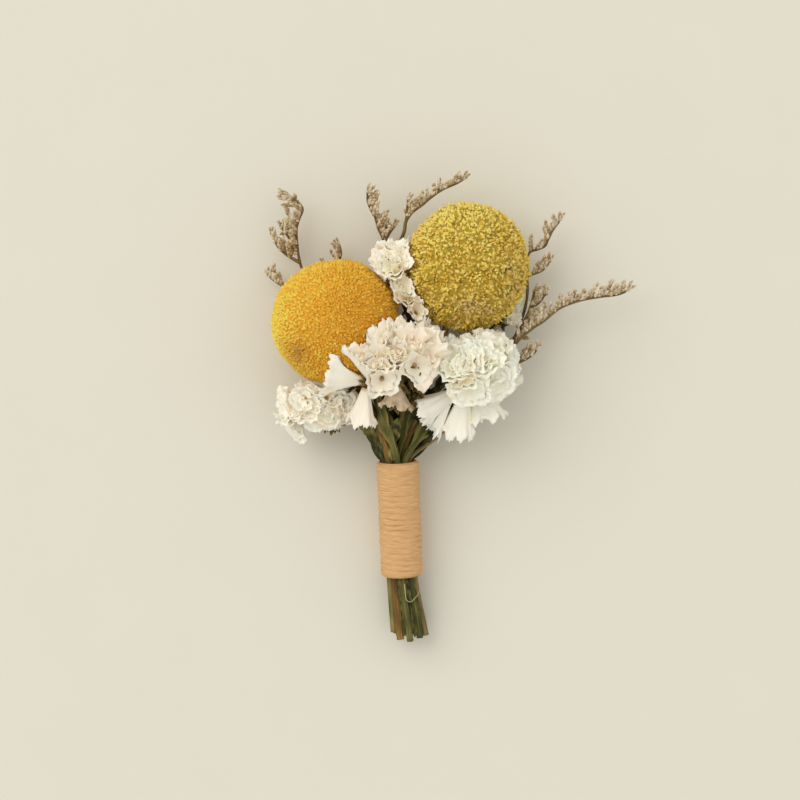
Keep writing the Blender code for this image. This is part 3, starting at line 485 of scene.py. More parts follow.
# Near 0 for a negative depth and the depth itself for a large one, softness * ln(1 + e^(depth / softness)),
# and its slope.
def softPush(depth, softness):
    t = np.clip(depth / softness, -40, 20)
    swell = np.exp(t)
    pushed = np.where(depth > 20 * softness, depth, softness * np.log1p(swell))
    return pushed, np.maximum(swell / (1 + swell), 0.03)


# For each point the nearest spot on a path's straight pieces.
def nearestOnPath(points, path):
    start, along = path[:-1], np.diff(path, axis=0)
    share = ((points[:, None] - start) * along).sum(-1) / (along**2).sum(-1)
    spots = start + along * np.clip(share, 0, 1)[..., None]
    best = np.linalg.norm(points[:, None] - spots, axis=-1).argmin(axis=1)
    return spots[np.arange(len(points)), best]


# Points, and the normals there, moved smoothly off each fence in turn.
def bentClear(points, normals, fences):
    shape = points.shape
    points, normals = points.reshape(-1, 3), normals.reshape(-1, 3)
    for kind, form, size, softness in fences:
        if kind == "plane":
            away, stretch = np.broadcast_to(size, points.shape), 1.0
            depth = (points - form) @ size
            pushed, slope = softPush(depth, softness)
            points = points + away * (pushed - depth)[:, None]
        else:
            nearest = nearestOnPath(points, form) if kind == "path" else np.broadcast_to(form, points.shape)
            distance = np.maximum(np.linalg.norm(points - nearest, axis=-1), 1e-6)
            away = (points - nearest) / distance[:, None]
            pushed, slope = softPush(distance - size, softness)
            stretch = ((size + pushed) / distance)[:, None]
            points = nearest + away * (size + pushed)[:, None]
        steep = (normals * away).sum(-1)
        normals = unit(away * (steep / slope)[:, None] + (normals - away * steep[:, None]) / stretch)
    return points.reshape(shape), normals.reshape(shape)


# A plane that petals stay on the normal's side of: half a wall and half a gap off the point, less the lap.
def planeFence(point, normal, lap=0.0):
    normal = unit(normal)
    point = np.array(point) + normal * ((fence["wall"] + fence["seatGap"]) / 2 - lap)
    return ("plane", point, normal, fence["planeSoft"])


# Fences round the parts of the stems that pass near a bunch's core.
def stemFences(paths, core):
    rod, made = np.array(core[:2], float), []
    for path, radius in paths:
        near = path[np.linalg.norm(nearestOnPath(path, rod) - path, axis=-1) < fence["reach"]]
        if len(near) > 1:
            made.append(("path", near[::2], radius + fence["gap"] + fence["wall"] / 2, fence["stemSoft"]))
    return made


# Stalks.

# Marks for a stalk: streaks that run lengthwise, its own tone and the pale pith of its cut end.
def stalkMarks(rings, path, tone, seed, cutRings=0):
    angle, length = anglesRound(rings.shape[1]), lengthsAlong(path)[:, None]
    streak = np.broadcast_arrays(np.cos(angle) * 1.3 + seed, np.sin(angle) * 1.3, length * 0.07)
    pith = np.zeros(rings.shape[:2])
    pith[:cutRings] = 1.0
    tones = tone + 0.16 * cloud(rings, 9.0, seed + 3)
    streak = np.stack(streak, axis=-1)[None]
    return {"streak": streak, "tone": tones[None, ..., None], "pith": pith[None, ..., None]}


cutEnd = np.array([(0.10, 0.55), (0.0, 0.93), (0.07, 1.0)])  # how far in, and the share of the radius


# The path with three rings at its cut end, so that the end is flat with a crisp edge.
def withCutEnd(path, radius):
    start = path[0] + unit(path[1] - path[0]) * cutEnd[:, :1]
    return np.vstack([start, path[1:]]), np.concatenate([cutEnd[:, 1:] * radius[:1], radius[1:]])


# A round stalk from radius to tip, its shallow ribs turning slowly: radius * (1 + rib * cos(ribs a + turn)).
def roundStalk(path, radius, tip, tone, seed, around=14, ribs=5, rib=0.05):
    share = sharesAlong(path)
    size = (radius + (tip - radius) * share) * (1 + rib * np.cos(ribs * anglesRound(around) + 2 * share))
    size = size * (1 + 0.05 * cloud(path, 5.0, seed))[:, None]
    path, size = withCutEnd(path, size)
    rings = tubeRings(path, (1, 0, 0), size, around)
    return shells(rings[None], **stalkMarks(rings, path, tone, seed, 2))


# Each wave of the wings is how high, in mm or for the sway in radians, and how many radians a mm.
wings = {
    "around": 36, "waves": [(0.2, 1.1, 1), (0.14, 2.3, 2)], "frill": (0.08, 3.1), "sway": (0.22, 0.8),
    "valley": 0.74, "deeper": 0.06, "side": (0.4, 0, 1), "paler": 0.22, "from": 3, "over": 6,
    "fade": (0.80, 0.93), "rise": 1.8, "step": 0.58,
}


# A winged stalk: round inside the binding, three thin waving wings above it. The radius rises from the valley
# to the wing's tip as (1/2 + 1/2 cos 3a)^5, and the wings sway round the stalk as they go.
def wingedStalk(path, radius, wing, tone, seed):
    length, share = lengthsAlong(path), sharesAlong(path)[:, 0]
    freeFrom = length[-1] - np.linalg.norm(path[-1] - bundle["top"]) + wings["from"]
    spread = smoothStep(freeFrom, freeFrom + wings["over"], length) * (1 - smoothStep(*wings["fade"], share))
    waves = sum(height * np.sin(length * pace + times * seed) for height, pace, times in wings["waves"])
    tip = radius + spread * (wing + waves)
    around, angle = wings["around"], anglesRound(wings["around"])
    peak = (0.5 + 0.5 * np.cos(3 * angle)) ** (1 + 4 * spread[:, None])
    high, pace = wings["frill"]
    nearest = np.floor(angle / fullTurn * 3 + 0.5)  # the wing that an angle is nearest to
    frill = high * spread[:, None] * np.sin(length[:, None] * pace + 3 * nearest) * peak
    valley = (radius * (wings["valley"] - wings["deeper"] * spread))[:, None]
    size = valley + (tip[:, None] - valley) * peak + frill
    high, pace = wings["sway"]
    sway = high * spread * np.sin(length * pace + seed)
    path, size = withCutEnd(path, size)
    sway = np.concatenate([np.full(3, sway[0]), sway[1:]])
    rings = tubeRings(path, wings["side"], size, around, sway)
    marks = stalkMarks(rings, path, tone, seed, 2)
    edge = np.concatenate([np.zeros((3, around)), (peak * spread[:, None])[1:]])
    marks["tone"] = marks["tone"] + wings["paler"] * edge[None, ..., None]  # wings dry paler than the stalk
    return shells(rings[None], **marks)


leafForm = {"rows": 22, "around": 24, "halfThick": 0.10, "spotted": 0.25}


# A thin dried leaf: width * sin(pi t^0.8)^0.8 across, curled over by cup * across², waved and crumpled.
def curledLeaf(root, way, normal, length, width, tone, seed, cup=0.35, curl=0.25, crumple=0.25):
    way, t = unit(way), np.linspace(0.02, 0.99, leafForm["rows"])[:, None]
    side = unit(np.cross(way, normal))
    face, angle = np.cross(side, way), anglesRound(leafForm["around"])
    half = width / 2 * np.sin(math.pi * t**0.8) ** 0.8
    across, thick = np.cos(angle) * half, np.sin(angle) * leafForm["halfThick"]
    lift = cup * across**2 / (width / 2) + curl * length * t**2 + thick
    points = np.array(root) + way * (t[..., None] * length)
    points = points + side * across[..., None] + face * lift[..., None]
    push = cloud(points - face * thick[:, None], width * 0.9, seed) * crumple * half / (width / 2)
    points = points + face * push[..., None]
    streak = np.stack(np.broadcast_arrays(across * 1.4 + seed, 0 * across, t * length * 0.12), axis=-1)
    tones = tone + leafForm["spotted"] * cloud(points, 2.5, seed + 1)
    return shells(points[None], streak=streak[None], tone=tones[None, ..., None], pith=evenMark(0))


# Billy buttons.

# Patches and worn spots: their way from the centre, how wide, and how much brighter, duller or more worn.
# The patches are partly the florets' own tone and partly painted light and shade: brighter and yellower on
# the sides towards the key light at the upper left, darker on the lower and far sides and in the shadow of
# the statice behind.
leftBall = {
    "side": "left", "slot": "billy_button_orange", "material": goldenFlorets, "seed": 51,
    "centre": np.array([-15.7, 19.1, 15.1]), "across": 15.5, "along": 14.9, "axis": unit((-0.36, 0.92, 0.12)),
    "florets": 9000, "size": 0.725, "jitter": 0.3, "uneven": 0.10, "tuft": 0.10, "lean": 0.35, "plump": 0.54,
    "slotNumber": 8, "cutBack": 0.4, "beyond": [(-5.2, -6.0, 13.0)], "behind": 5, "radius": 0.9, "tip": 1.05,
    "tone": 0.45, "speckle": 0.06, "mottle": 0.08, "flecks": 0.02,
    "patchesAndPaintedLight": [
        ((-0.62, -0.53, 0.58), 0.22, -0.30), ((-0.35, 0.65, 0.65), 0.5, 0.12),
        ((0.2, -0.1, 0.97), 0.6, -0.12), ((-0.9, -0.1, 0.3), 0.5, 0.40), ((0.75, 0.2, 0.6), 0.4, -0.16),
    ],
    "worn": [
        ((-0.54, -0.52, 0.66), 0.07, 0.9), ((-0.6, -0.45, 0.66), 0.2, 0.3), ((-0.62, -0.7, 0.36), 0.16, 0.4),
    ],
}
rightBall = {
    "side": "right", "slot": "billy_button_olive", "material": oliveFlorets, "seed": 52,
    "centre": np.array([16.3, 32.4, 14.4]), "across": 14.8, "along": 15.4, "axis": unit((0.32, 0.94, 0.06)),
    "florets": 7600, "size": 0.88, "jitter": 0.45, "uneven": 0.22, "tuft": 0.28, "lean": 0.95, "plump": 0.44,
    "slotNumber": 10, "cutBack": 0.9, "beyond": [(4.0, -4.0, 10.9)], "behind": 6, "radius": 0.78, "tip": 0.85,
    "tone": 0.55, "speckle": 0.10, "mottle": 0.24, "flecks": 0.10,
    "patchesAndPaintedLight": [
        ((0.1, -0.65, 0.7), 0.3, 0.10), ((-0.2, 0.75, 0.6), 0.55, 0.52), ((0.0, -0.9, 0.3), 0.45, -0.22),
        ((0.8, 0.0, 0.5), 0.35, 0.12), ((-0.5, 0.0, 0.85), 0.4, -0.06),
    ],
    "worn": [
        ((0.0, -0.63, 0.78), 0.16, 0.7), ((0.3, -0.7, 0.6), 0.12, 0.5), ((0.62, 0.1, 0.7), 0.14, 0.4),
        ((0.8, -0.3, 0.5), 0.2, 0.4),
    ],
}
# What both balls share, in mm: the floret's profile as (height, radius) and the sizes of the tufts' clouds.
floretForm = {
    "foot": (-0.5, 0.46), "shoulder": 0.45, "point": (1.15, 0.10), "rootSunk": 0.62, "coreSunk": 0.42,
    "unit": 15, "swell": (0.22, 11.0), "tuftSize": 2.6, "toneSize": 5.0, "bareBelow": 11, "lidSunk": 0.85,
    "sizes": (0.7, 1.3), "depth": [0.0, 0.6, 1.0], "tone": 0.47, "spotted": 0.08, "coreRings": (40, 60),
}


# A ball of small pointed florets. Each stands on the egg's surface, centre + d * across + axis * (d . axis) *
# (along - across), leaning a little its own way, above a plain core painted in the creases' shade colour.
# Round the stalk it is bare.
def billyButton(look):
    draw = np.random.default_rng(look["seed"])
    axis, centre, size = look["axis"], look["centre"], floretForm["unit"]
    spots = spiralDirections(look["florets"]) + draw.normal(size=(look["florets"], 3)) * look["jitter"] / size
    spots = unit(spots)
    spots = spots[spots @ -axis < math.cos(math.radians(floretForm["bareBelow"]))]

    # The cloud that parts the skin into tufts.
    def tufts(d):
        return cloud(d * size, floretForm["tuftSize"], look["seed"] + 7)

    # The egg's surface as above, sunk a little and swollen by two clouds.
    def onEgg(d, sunk):
        high, wide = floretForm["swell"]
        swell = high * cloud(d * size, wide, look["seed"]) + look["tuft"] * tufts(d)
        longer = (d @ axis) * (look["along"] - look["across"])
        return centre + d * (look["across"] - sunk + swell)[..., None] + axis * longer[..., None]

    normals = unit(spots + axis * ((spots @ axis) * (look["across"] / look["along"] - 1))[:, None])
    ways = unit(normals + draw.normal(size=normals.shape) * look["lean"])
    sizes = look["size"] * draw.uniform(*floretForm["sizes"], len(spots))
    roots = onEgg(spots, floretForm["rootSunk"] + draw.uniform(-1, 1, len(spots)) * look["uneven"])
    profile = [floretForm["foot"], (floretForm["shoulder"], look["plump"]), floretForm["point"]]
    rings = turnedBuds(roots, ways, sizes, profile, 3, look["seed"] + 1)
    # The patches paint light and shade onto the florets' tone, along with their own patches of colour.
    patchAndPaintedLight, worn = (
        sum(amount * np.exp(-((1 - spots @ unit(way)) / (wide * wide))) for way, wide, amount in look[key])
        for key in ("patchesAndPaintedLight", "worn")
    )
    worn = worn * draw.uniform(0.3, 1.4, len(spots))
    worn = np.clip(worn + 0.3 * (draw.uniform(0, 1, len(spots)) < look["flecks"]), 0, 1)
    tone = floretForm["tone"] + patchAndPaintedLight + draw.normal(size=len(spots)) * look["speckle"]
    tone = tone + floretForm["spotted"] * cloud(spots * size, floretForm["toneSize"], look["seed"] + 2)
    tone = tone + look["mottle"] * tufts(spots)
    fleck = np.clip(draw.uniform(-1.6, 0.6, len(spots)), 0, 1)
    depth = ringMark(floretForm["depth"])
    skin = shells(
        rings, depth=depth, tone=shellMark(tone), fleck=shellMark(fleck) * depth, worn=shellMark(worn),
    )
    across = unit(np.cross(axis, up))
    rows, around = floretForm["coreRings"]
    polar = np.linspace(0.02, math.pi - 0.02, rows)[:, None, None]
    level = wayRound(across, np.cross(axis, across), anglesRound(around)[None])
    ball = -axis * np.cos(polar) + level * np.sin(polar)
    coreRings = onEgg(ball, np.full(ball.shape[:2], floretForm["coreSunk"]))[None]
    # The core lies low in depth, so it takes the painted crease shade.
    core = shells(coreRings, depth=evenMark(0.2), tone=evenMark(0.4), fleck=evenMark(0), worn=evenMark(0))
    head, stem = "billy_button_head_" + look["side"], "billy_button_stem_" + look["side"]
    skinName, stalkName = "billy_button_florets_" + look["side"], "billy_button_stalk_" + look["side"]
    makePiece(skinName, [(skin, 0), (core, 0)], [look["material"]], [head])

    seat = centre - axis * (look["along"] - floretForm["lidSunk"] + fence["seatGap"])
    beyond = [*look["beyond"], seat - axis * look["behind"], seat + axis * 0.9]
    path = curveThrough(bundledPath(look["slotNumber"], look["cutBack"], beyond))
    stalk = roundStalk(path, look["radius"], look["tip"], look["tone"], look["seed"])
    makePiece(stalkName, [(stalk, 0)], [stalkBrown], [stem])
    return path


ballPaths = [billyButton(look) for look in (leftBall, rightBall)]
print("billy buttons made")


# Statice stalks.

# husks: clusters of brown green husks between the florets, as (middle, spread, way, how many). Browned and
# shaded florets: by number, and how far they are tinted brown, partly their own browning and partly painted
# shade where they lie low or in the shadow of others. stalks: name, slot, cut back, points, share of the core
# where it is seated, wing, seed, tone. florets: base, mouth, half width, half height, roll in degrees.
staticeBunches = {
    "centre": {
        "core": ((-8.0, 4.0, 20.5), (4.0, 8.0, 20.8), 1.9), "seed": 100, "blush": 0.55, "fillFrom": 9.0,
        "browningAndShade": {7: 0.75, 6: 0.12, 4: 0.1},
        "husks": [
            ((3.6, 2.4, 17.4), (2.4, 1.9, 0.9), (0.2, -0.6, 0.6), 70),
            ((-0.5, 0.6, 17.6), (1.6, 1.2, 0.6), (0, -1, 0.2), 16),
        ],
        "stalks": [
            ("centre", 0, 0.0, [(-2.4, -8.4, 15.0), (-4.4, -1.0, 16.0)], 0.15, 1.5, 11, 0.62),
            ("centre_second", 9, 1.2, [(1.0, -8.0, 12.8), (2.2, 0.0, 14.8)], 0.85, 1.2, 12, 0.5),
        ],
        "florets": [
            ((-8.9, 4.6, 21.0), (-17.4, 7.2, 24.8), 5.6, 2.8, 10),
            ((-7.5, 5.6, 22.0), (-9.3, 12.6, 29.0), 3.8, 2.4, 0),
            ((-3.0, 7.4, 21.8), (-3.4, 16.4, 26.6), 5.0, 3.2, 0),
            ((1.0, 8.8, 21.8), (3.2, 17.4, 25.2), 5.4, 3.2, 0),
            ((-4.6, 5.4, 22.4), (-4.0, 4.8, 29.0), 4.0, 3.6, 20),
            ((-8.2, 3.2, 20.6), (-9.4, -5.4, 20.8), 3.3, 1.8, 0),
            ((2.6, 8.0, 22.2), (4.8, 8.6, 27.0), 5.4, 4.2, 0),
            ((-1.2, 4.6, 20.0), (-1.0, -2.0, 20.2), 3.8, 2.0, 0),
            ((4.4, 9.2, 21.4), (10.2, 15.4, 23.8), 5.2, 3.6, 0),
            ((-3.2, 7.4, 22.2), (-3.0, 10.6, 29.4), 4.4, 3.6, 45),
            ((0.6, 8.4, 22.4), (0.6, 12.8, 28.2), 4.4, 3.4, 20),
        ],
    },
    "right": {
        "core": ((12.8, 3.8, 16.6), (22.0, 8.4, 16.0), 1.9), "seed": 200, "blush": 0.08, "fillFrom": 1.0,
        "browningAndShade": {7: 0.12}, "husks": [((10.6, 1.0, 15.2), (1.4, 1.4, 0.6), (-0.4, -1, 0.2), 16)],
        "stalks": [
            ("right", 1, 0.6, [(5.0, -8.8, 12.8), (9.8, -2.0, 11.6), (12.6, 1.8, 11.4)], 0.2, 1.5, 13, 0.42),
        ],
        "florets": [
            ((15.2, 6.8, 18.0), (14.4, 15.0, 22.2), 4.6, 3.2, 0),
            ((21.2, 9.8, 17.0), (23.0, 15.4, 20.4), 4.6, 3.2, 0),
            ((18.6, 7.6, 18.2), (19.4, 10.0, 25.8), 4.8, 4.2, 10),
            ((23.6, 8.6, 16.4), (27.8, 8.2, 18.4), 5.2, 3.6, 20),
            ((22.6, 6.8, 15.8), (25.8, 1.6, 17.0), 4.6, 3.2, 10),
            ((20.0, 4.8, 15.8), (21.0, -5.2, 15.6), 4.8, 3.0, 10),
            ((16.4, 3.4, 16.4), (13.6, -8.0, 15.4), 3.8, 2.1, 0),
            ((13.6, 2.2, 17.8), (4.4, -3.0, 19.6), 3.8, 2.3, 20),
            ((12.4, 1.4, 16.8), (8.1, -7.8, 16.9), 1.7, 1.3, 0),
            ((14.2, 6.0, 18.4), (13.4, 8.8, 25.2), 4.8, 4.2, 40),
            ((17.0, 4.8, 18.2), (16.6, 2.4, 25.0), 4.8, 4.4, 0),
            ((21.6, 6.4, 17.6), (23.8, 4.6, 23.8), 4.6, 4.0, 30),
        ],
    },
    "left": {
        "core": ((-14.5, -0.2, 12.4), (-23.5, -2.0, 11.6), 1.8), "seed": 300, "blush": 0.25, "fillFrom": -5.0,
        "browningAndShade": {8: 0.32, 4: 0.22, 6: 0.15},
        "husks": [
            ((-16.6, -5.1, 11.4), (2.8, 0.4, 0.6), (0.1, -1, 0), 20),
            ((-11.2, 1.0, 12.6), (1.2, 1.4, 0.8), (0.2, -0.5, 0.8), 24),
        ],
        "stalks": [
            ("left", 7, 1.8, [(-5.8, -9.4, 10.6), (-8.2, -5.6, 9.6), (-13.2, -2.6, 8.2)], 0.3, 1.4, 14, 0.72),
        ],
        "florets": [
            ((-20.4, 0.4, 13.0), (-21.4, 3.8, 17.8), 3.2, 2.4, 0),
            ((-21.6, -1.2, 13.2), (-22.8, -1.2, 19.0), 4.0, 3.6, 0),
            ((-24.6, -1.6, 12.0), (-28.8, -1.4, 14.0), 4.4, 3.4, 20),
            ((-23.8, -3.2, 11.4), (-27.2, -7.6, 12.0), 4.4, 3.2, 10),
            ((-15.6, -0.8, 14.0), (-14.6, -1.8, 18.8), 3.8, 3.4, 0),
            ((-19.4, -2.4, 13.2), (-20.2, -5.0, 17.4), 3.8, 3.2, 0),
            ((-17.6, -2.6, 12.4), (-16.8, -6.4, 13.4), 3.4, 2.0, 0),
            ((-21.6, -1.4, 10.4), (-23.2, -2.4, 4.8), 3.4, 3.0, 0),
            ((-15.2, -0.8, 13.2), (-11.6, -2.4, 16.8), 3.6, 2.6, 0),
        ],
    },
    "back": {
        "core": ((3.4, 19.6, 12.0), (-1.4, 31.0, 12.6), 1.4), "seed": 400, "blush": 0.3, "fillFrom": 26.0,
        "browningAndShade": {}, "husks": [((2.6, 17.2, 12.0), (0.9, 1.8, 0.8), (0.2, -0.8, 0.6), 14)],
        "stalks": [("back", 11, 0.8, [(-0.8, -4.0, 9.0), (1.2, 8.0, 8.2)], 0.15, 0.8, 15, 0.45)],
        "florets": [
            ((-0.4, 32.2, 13.2), (-0.4, 38.2, 16.8), 4.2, 3.0, 0),
            ((-1.6, 31.0, 13.4), (-5.8, 34.6, 18.2), 3.8, 2.8, 60),
            ((-0.2, 30.0, 14.0), (-1.2, 33.2, 22.0), 4.4, 3.6, 0),
            ((3.8, 20.4, 13.4), (4.4, 22.9, 20.4), 4.2, 2.0, 110),
            ((1.6, 25.2, 13.8), (0.4, 28.6, 21.6), 4.2, 2.2, 110),
            ((0.4, 30.6, 11.4), (1.6, 34.6, 7.4), 2.6, 2.0, 0),
        ],
    },
    "low_right": {
        "core": ((24.4, 18.4, 6.0), (26.2, 20.8, 6.2), 1.5), "seed": 500, "blush": 0.1, "fillFrom": 99.0,
        "browningAndShade": {}, "husks": [],
        "stalks": [
            ("low_right", 4, 0.2, [(4.6, -4.0, 4.4), (13.6, 8.0, 2.6), (20.0, 14.6, 1.8)], 0.3, 0.5, 16, 0.4),
        ],
        "florets": [
            ((26.6, 20.0, 5.6), (29.4, 25.4, 4.6), 2.4, 1.7, 0),
            ((26.0, 19.4, 7.2), (28.0, 20.6, 11.0), 2.0, 1.5, 0),
            ((24.6, 18.4, 6.2), (23.4, 14.8, 9.2), 2.6, 2.0, 0),
        ],
    },
}
# Crumpled dark leaves at the foot of the stalks: root, way, length, width, tone.
leaves = [
    ((-4.3, -15.2, 9.2), (-0.16, 1, 0.22), 12.5, 4.4, 0.30),
    ((-3.4, -15.4, 12.0), (-0.22, 1, 0.16), 10.0, 3.0, 0.42),
    ((-1.8, -15.0, 13.4), (0.02, 1, 0.10), 6.0, 2.6, 0.66),
    ((-1.4, -14.6, 8.6), (-0.06, 1, 0.16), 15.0, 5.4, -0.05),
    ((0.6, -14.4, 8.8), (0.12, 1, 0.20), 16.0, 5.6, -0.10),
    ((2.0, -14.6, 8.6), (0.36, 1, 0.18), 14.0, 4.2, 0.0),
    ((2.9, -14.6, 9.8), (0.82, 1, 0.12), 10.0, 2.0, 0.05),
    ((0.8, -4.6, 13.0), (0.10, 1, 0.22), 9.5, 6.4, -0.05),
    ((4.2, -5.2, 12.6), (0.30, 1, 0.26), 9.5, 5.6, 0.0), ((-3.0, -5.0, 12.0), (-0.15, 1, 0.3), 8.0, 4.6, 0.1),
]
leafLie = {"seed": 900, "bend": (-0.15, 0.02, 0.5)}  # bend: cup, curl and crumple
# Dried bracts on the stalks: share along the stalk, way, length, width, tone.
bracts = {
    "left": [
        (0.71, (-0.6, 0.8, 0.0), 8.0, 3.2, 0.55), (0.84, (0.1, -1, 0.1), 3.6, 1.0, 0.6),
        (0.88, (-0.3, -1, -0.2), 4.4, 1.0, 0.7), (0.92, (-0.8, -0.6, 0.2), 3.8, 1.0, 0.65),
    ],
    "centre": [(0.74, (0.4, 0.8, 0.3), 7.5, 3.0, 0.5), (0.88, (0.9, -0.3, -0.2), 3.4, 1.4, 0.3)],
    "centre_second": [(0.80, (0.7, 0.4, 0.3), 5.0, 2.2, 0.35)],
    "right": [(0.74, (0.7, 0.5, -0.3), 6.5, 2.4, 0.5), (0.86, (1.0, -0.4, -0.3), 3.8, 1.4, 0.4)],
}
bractLie = {"along": 0.5, "sunk": 0.3, "seed": 7}

# Strips of loose dry skin along the cut ends, between two slots of the ring: slot, distance from the end,
# length, width, tone. They lie sunk a little into the bundle and close on it. One torn fibre curls over them.
peelStrips = [
    (7.5, 0.6, 16.5, 2.0, 0.6), (8.5, 1.0, 16.5, 2.0, 0.35), (0.5, 0.7, 16.5, 2.1, 0.4),
    (1.5, 0.7, 16.5, 2.1, 0.5), (6.5, 8.0, 9.5, 1.7, 1.0), (2.4, 2.6, 14.5, 1.3, 0.1),
]
peelLie = {"sunk": 0.15, "closing": 0.045, "seed": 950, "bend": (-0.3, 0.0, 0.35)}
tornFibre = {
    "points": [
        (1.1, -45.2, 10.6), (1.3, -47.4, 10.4), (1.6, -49.2, 10.3), (2.7, -49.6, 10.0), (3.6, -48.8, 9.6),
        (4.4, -47.9, 9.2), (4.9, -46.6, 8.6),
    ],
    "radius": 0.16, "tip": 0.08, "tone": 1.25, "seed": 960,
}


# The strips and the fibre, each with its material's number on the centre stalk.
def loosePeels():
    made, along = [], unit(bundle["foot"] - bundle["cut"])
    for number, (slot, cutBack, length, width, shade) in enumerate(peelStrips):
        out = wayRound(rightWay, upWay, math.radians(90 - slot * 40))
        start = bundle["cut"] + along * cutBack
        start = start + out * (bundle["outerRing"] * bundle["spread"] - peelLie["sunk"])
        way, seed = along - out * peelLie["closing"], peelLie["seed"] + number
        made.append((curledLeaf(start, way, out, length, width, shade, seed, *peelLie["bend"]), 0))
    fibre, look = curveThrough(tornFibre["points"], 0.25), tornFibre
    made.append((roundStalk(fibre, look["radius"], look["tip"], look["tone"], look["seed"], around=8), 1))
    return made


stemPaths = []
for bunch in staticeBunches.values():
    start, end, coreRadius = coreOf(bunch)
    for name, slot, cutBack, beyond, share, wing, seed, tone in bunch["stalks"]:
        seat = start + (end - start) * share - up * (coreRadius + fence["seatGap"])
        beyond = [*beyond, seat - up * wings["rise"], seat]
        path = curveThrough(bundledPath(slot, cutBack, beyond), wings["step"])
        radius = bundle["outerRadius" if slot < 9 else "innerRadius"]
        stemPaths.append((path, radius))
        parts = [(wingedStalk(path, radius, wing, tone, seed), 0)]
        for number, (place, way, *size, shade) in enumerate(bracts.get(name, [])):
            index = int(place * (len(path) - 1))
            lean = unit(unit(way) + unit(path[index + 1] - path[index]) * bractLie["along"])
            root, leafSeed = path[index] - lean * bractLie["sunk"], seed * bractLie["seed"] + number
            parts.append((curledLeaf(root, lean, up, *size, shade, leafSeed), 0))
        if name == "centre":
            for number, (root, way, *size, shade) in enumerate(leaves):
                leaf = curledLeaf(root, way, up, *size, shade, leafLie["seed"] + number, *leafLie["bend"])
                parts.append((leaf, 0))
            parts += loosePeels()
        stem, stalk = "statice_stem_" + name, "statice_stalk_" + name
        makePiece(stalk, parts, [stalkGreen, stalkBeige], [stem])
print("statice stalks made")


# Sea lavender.

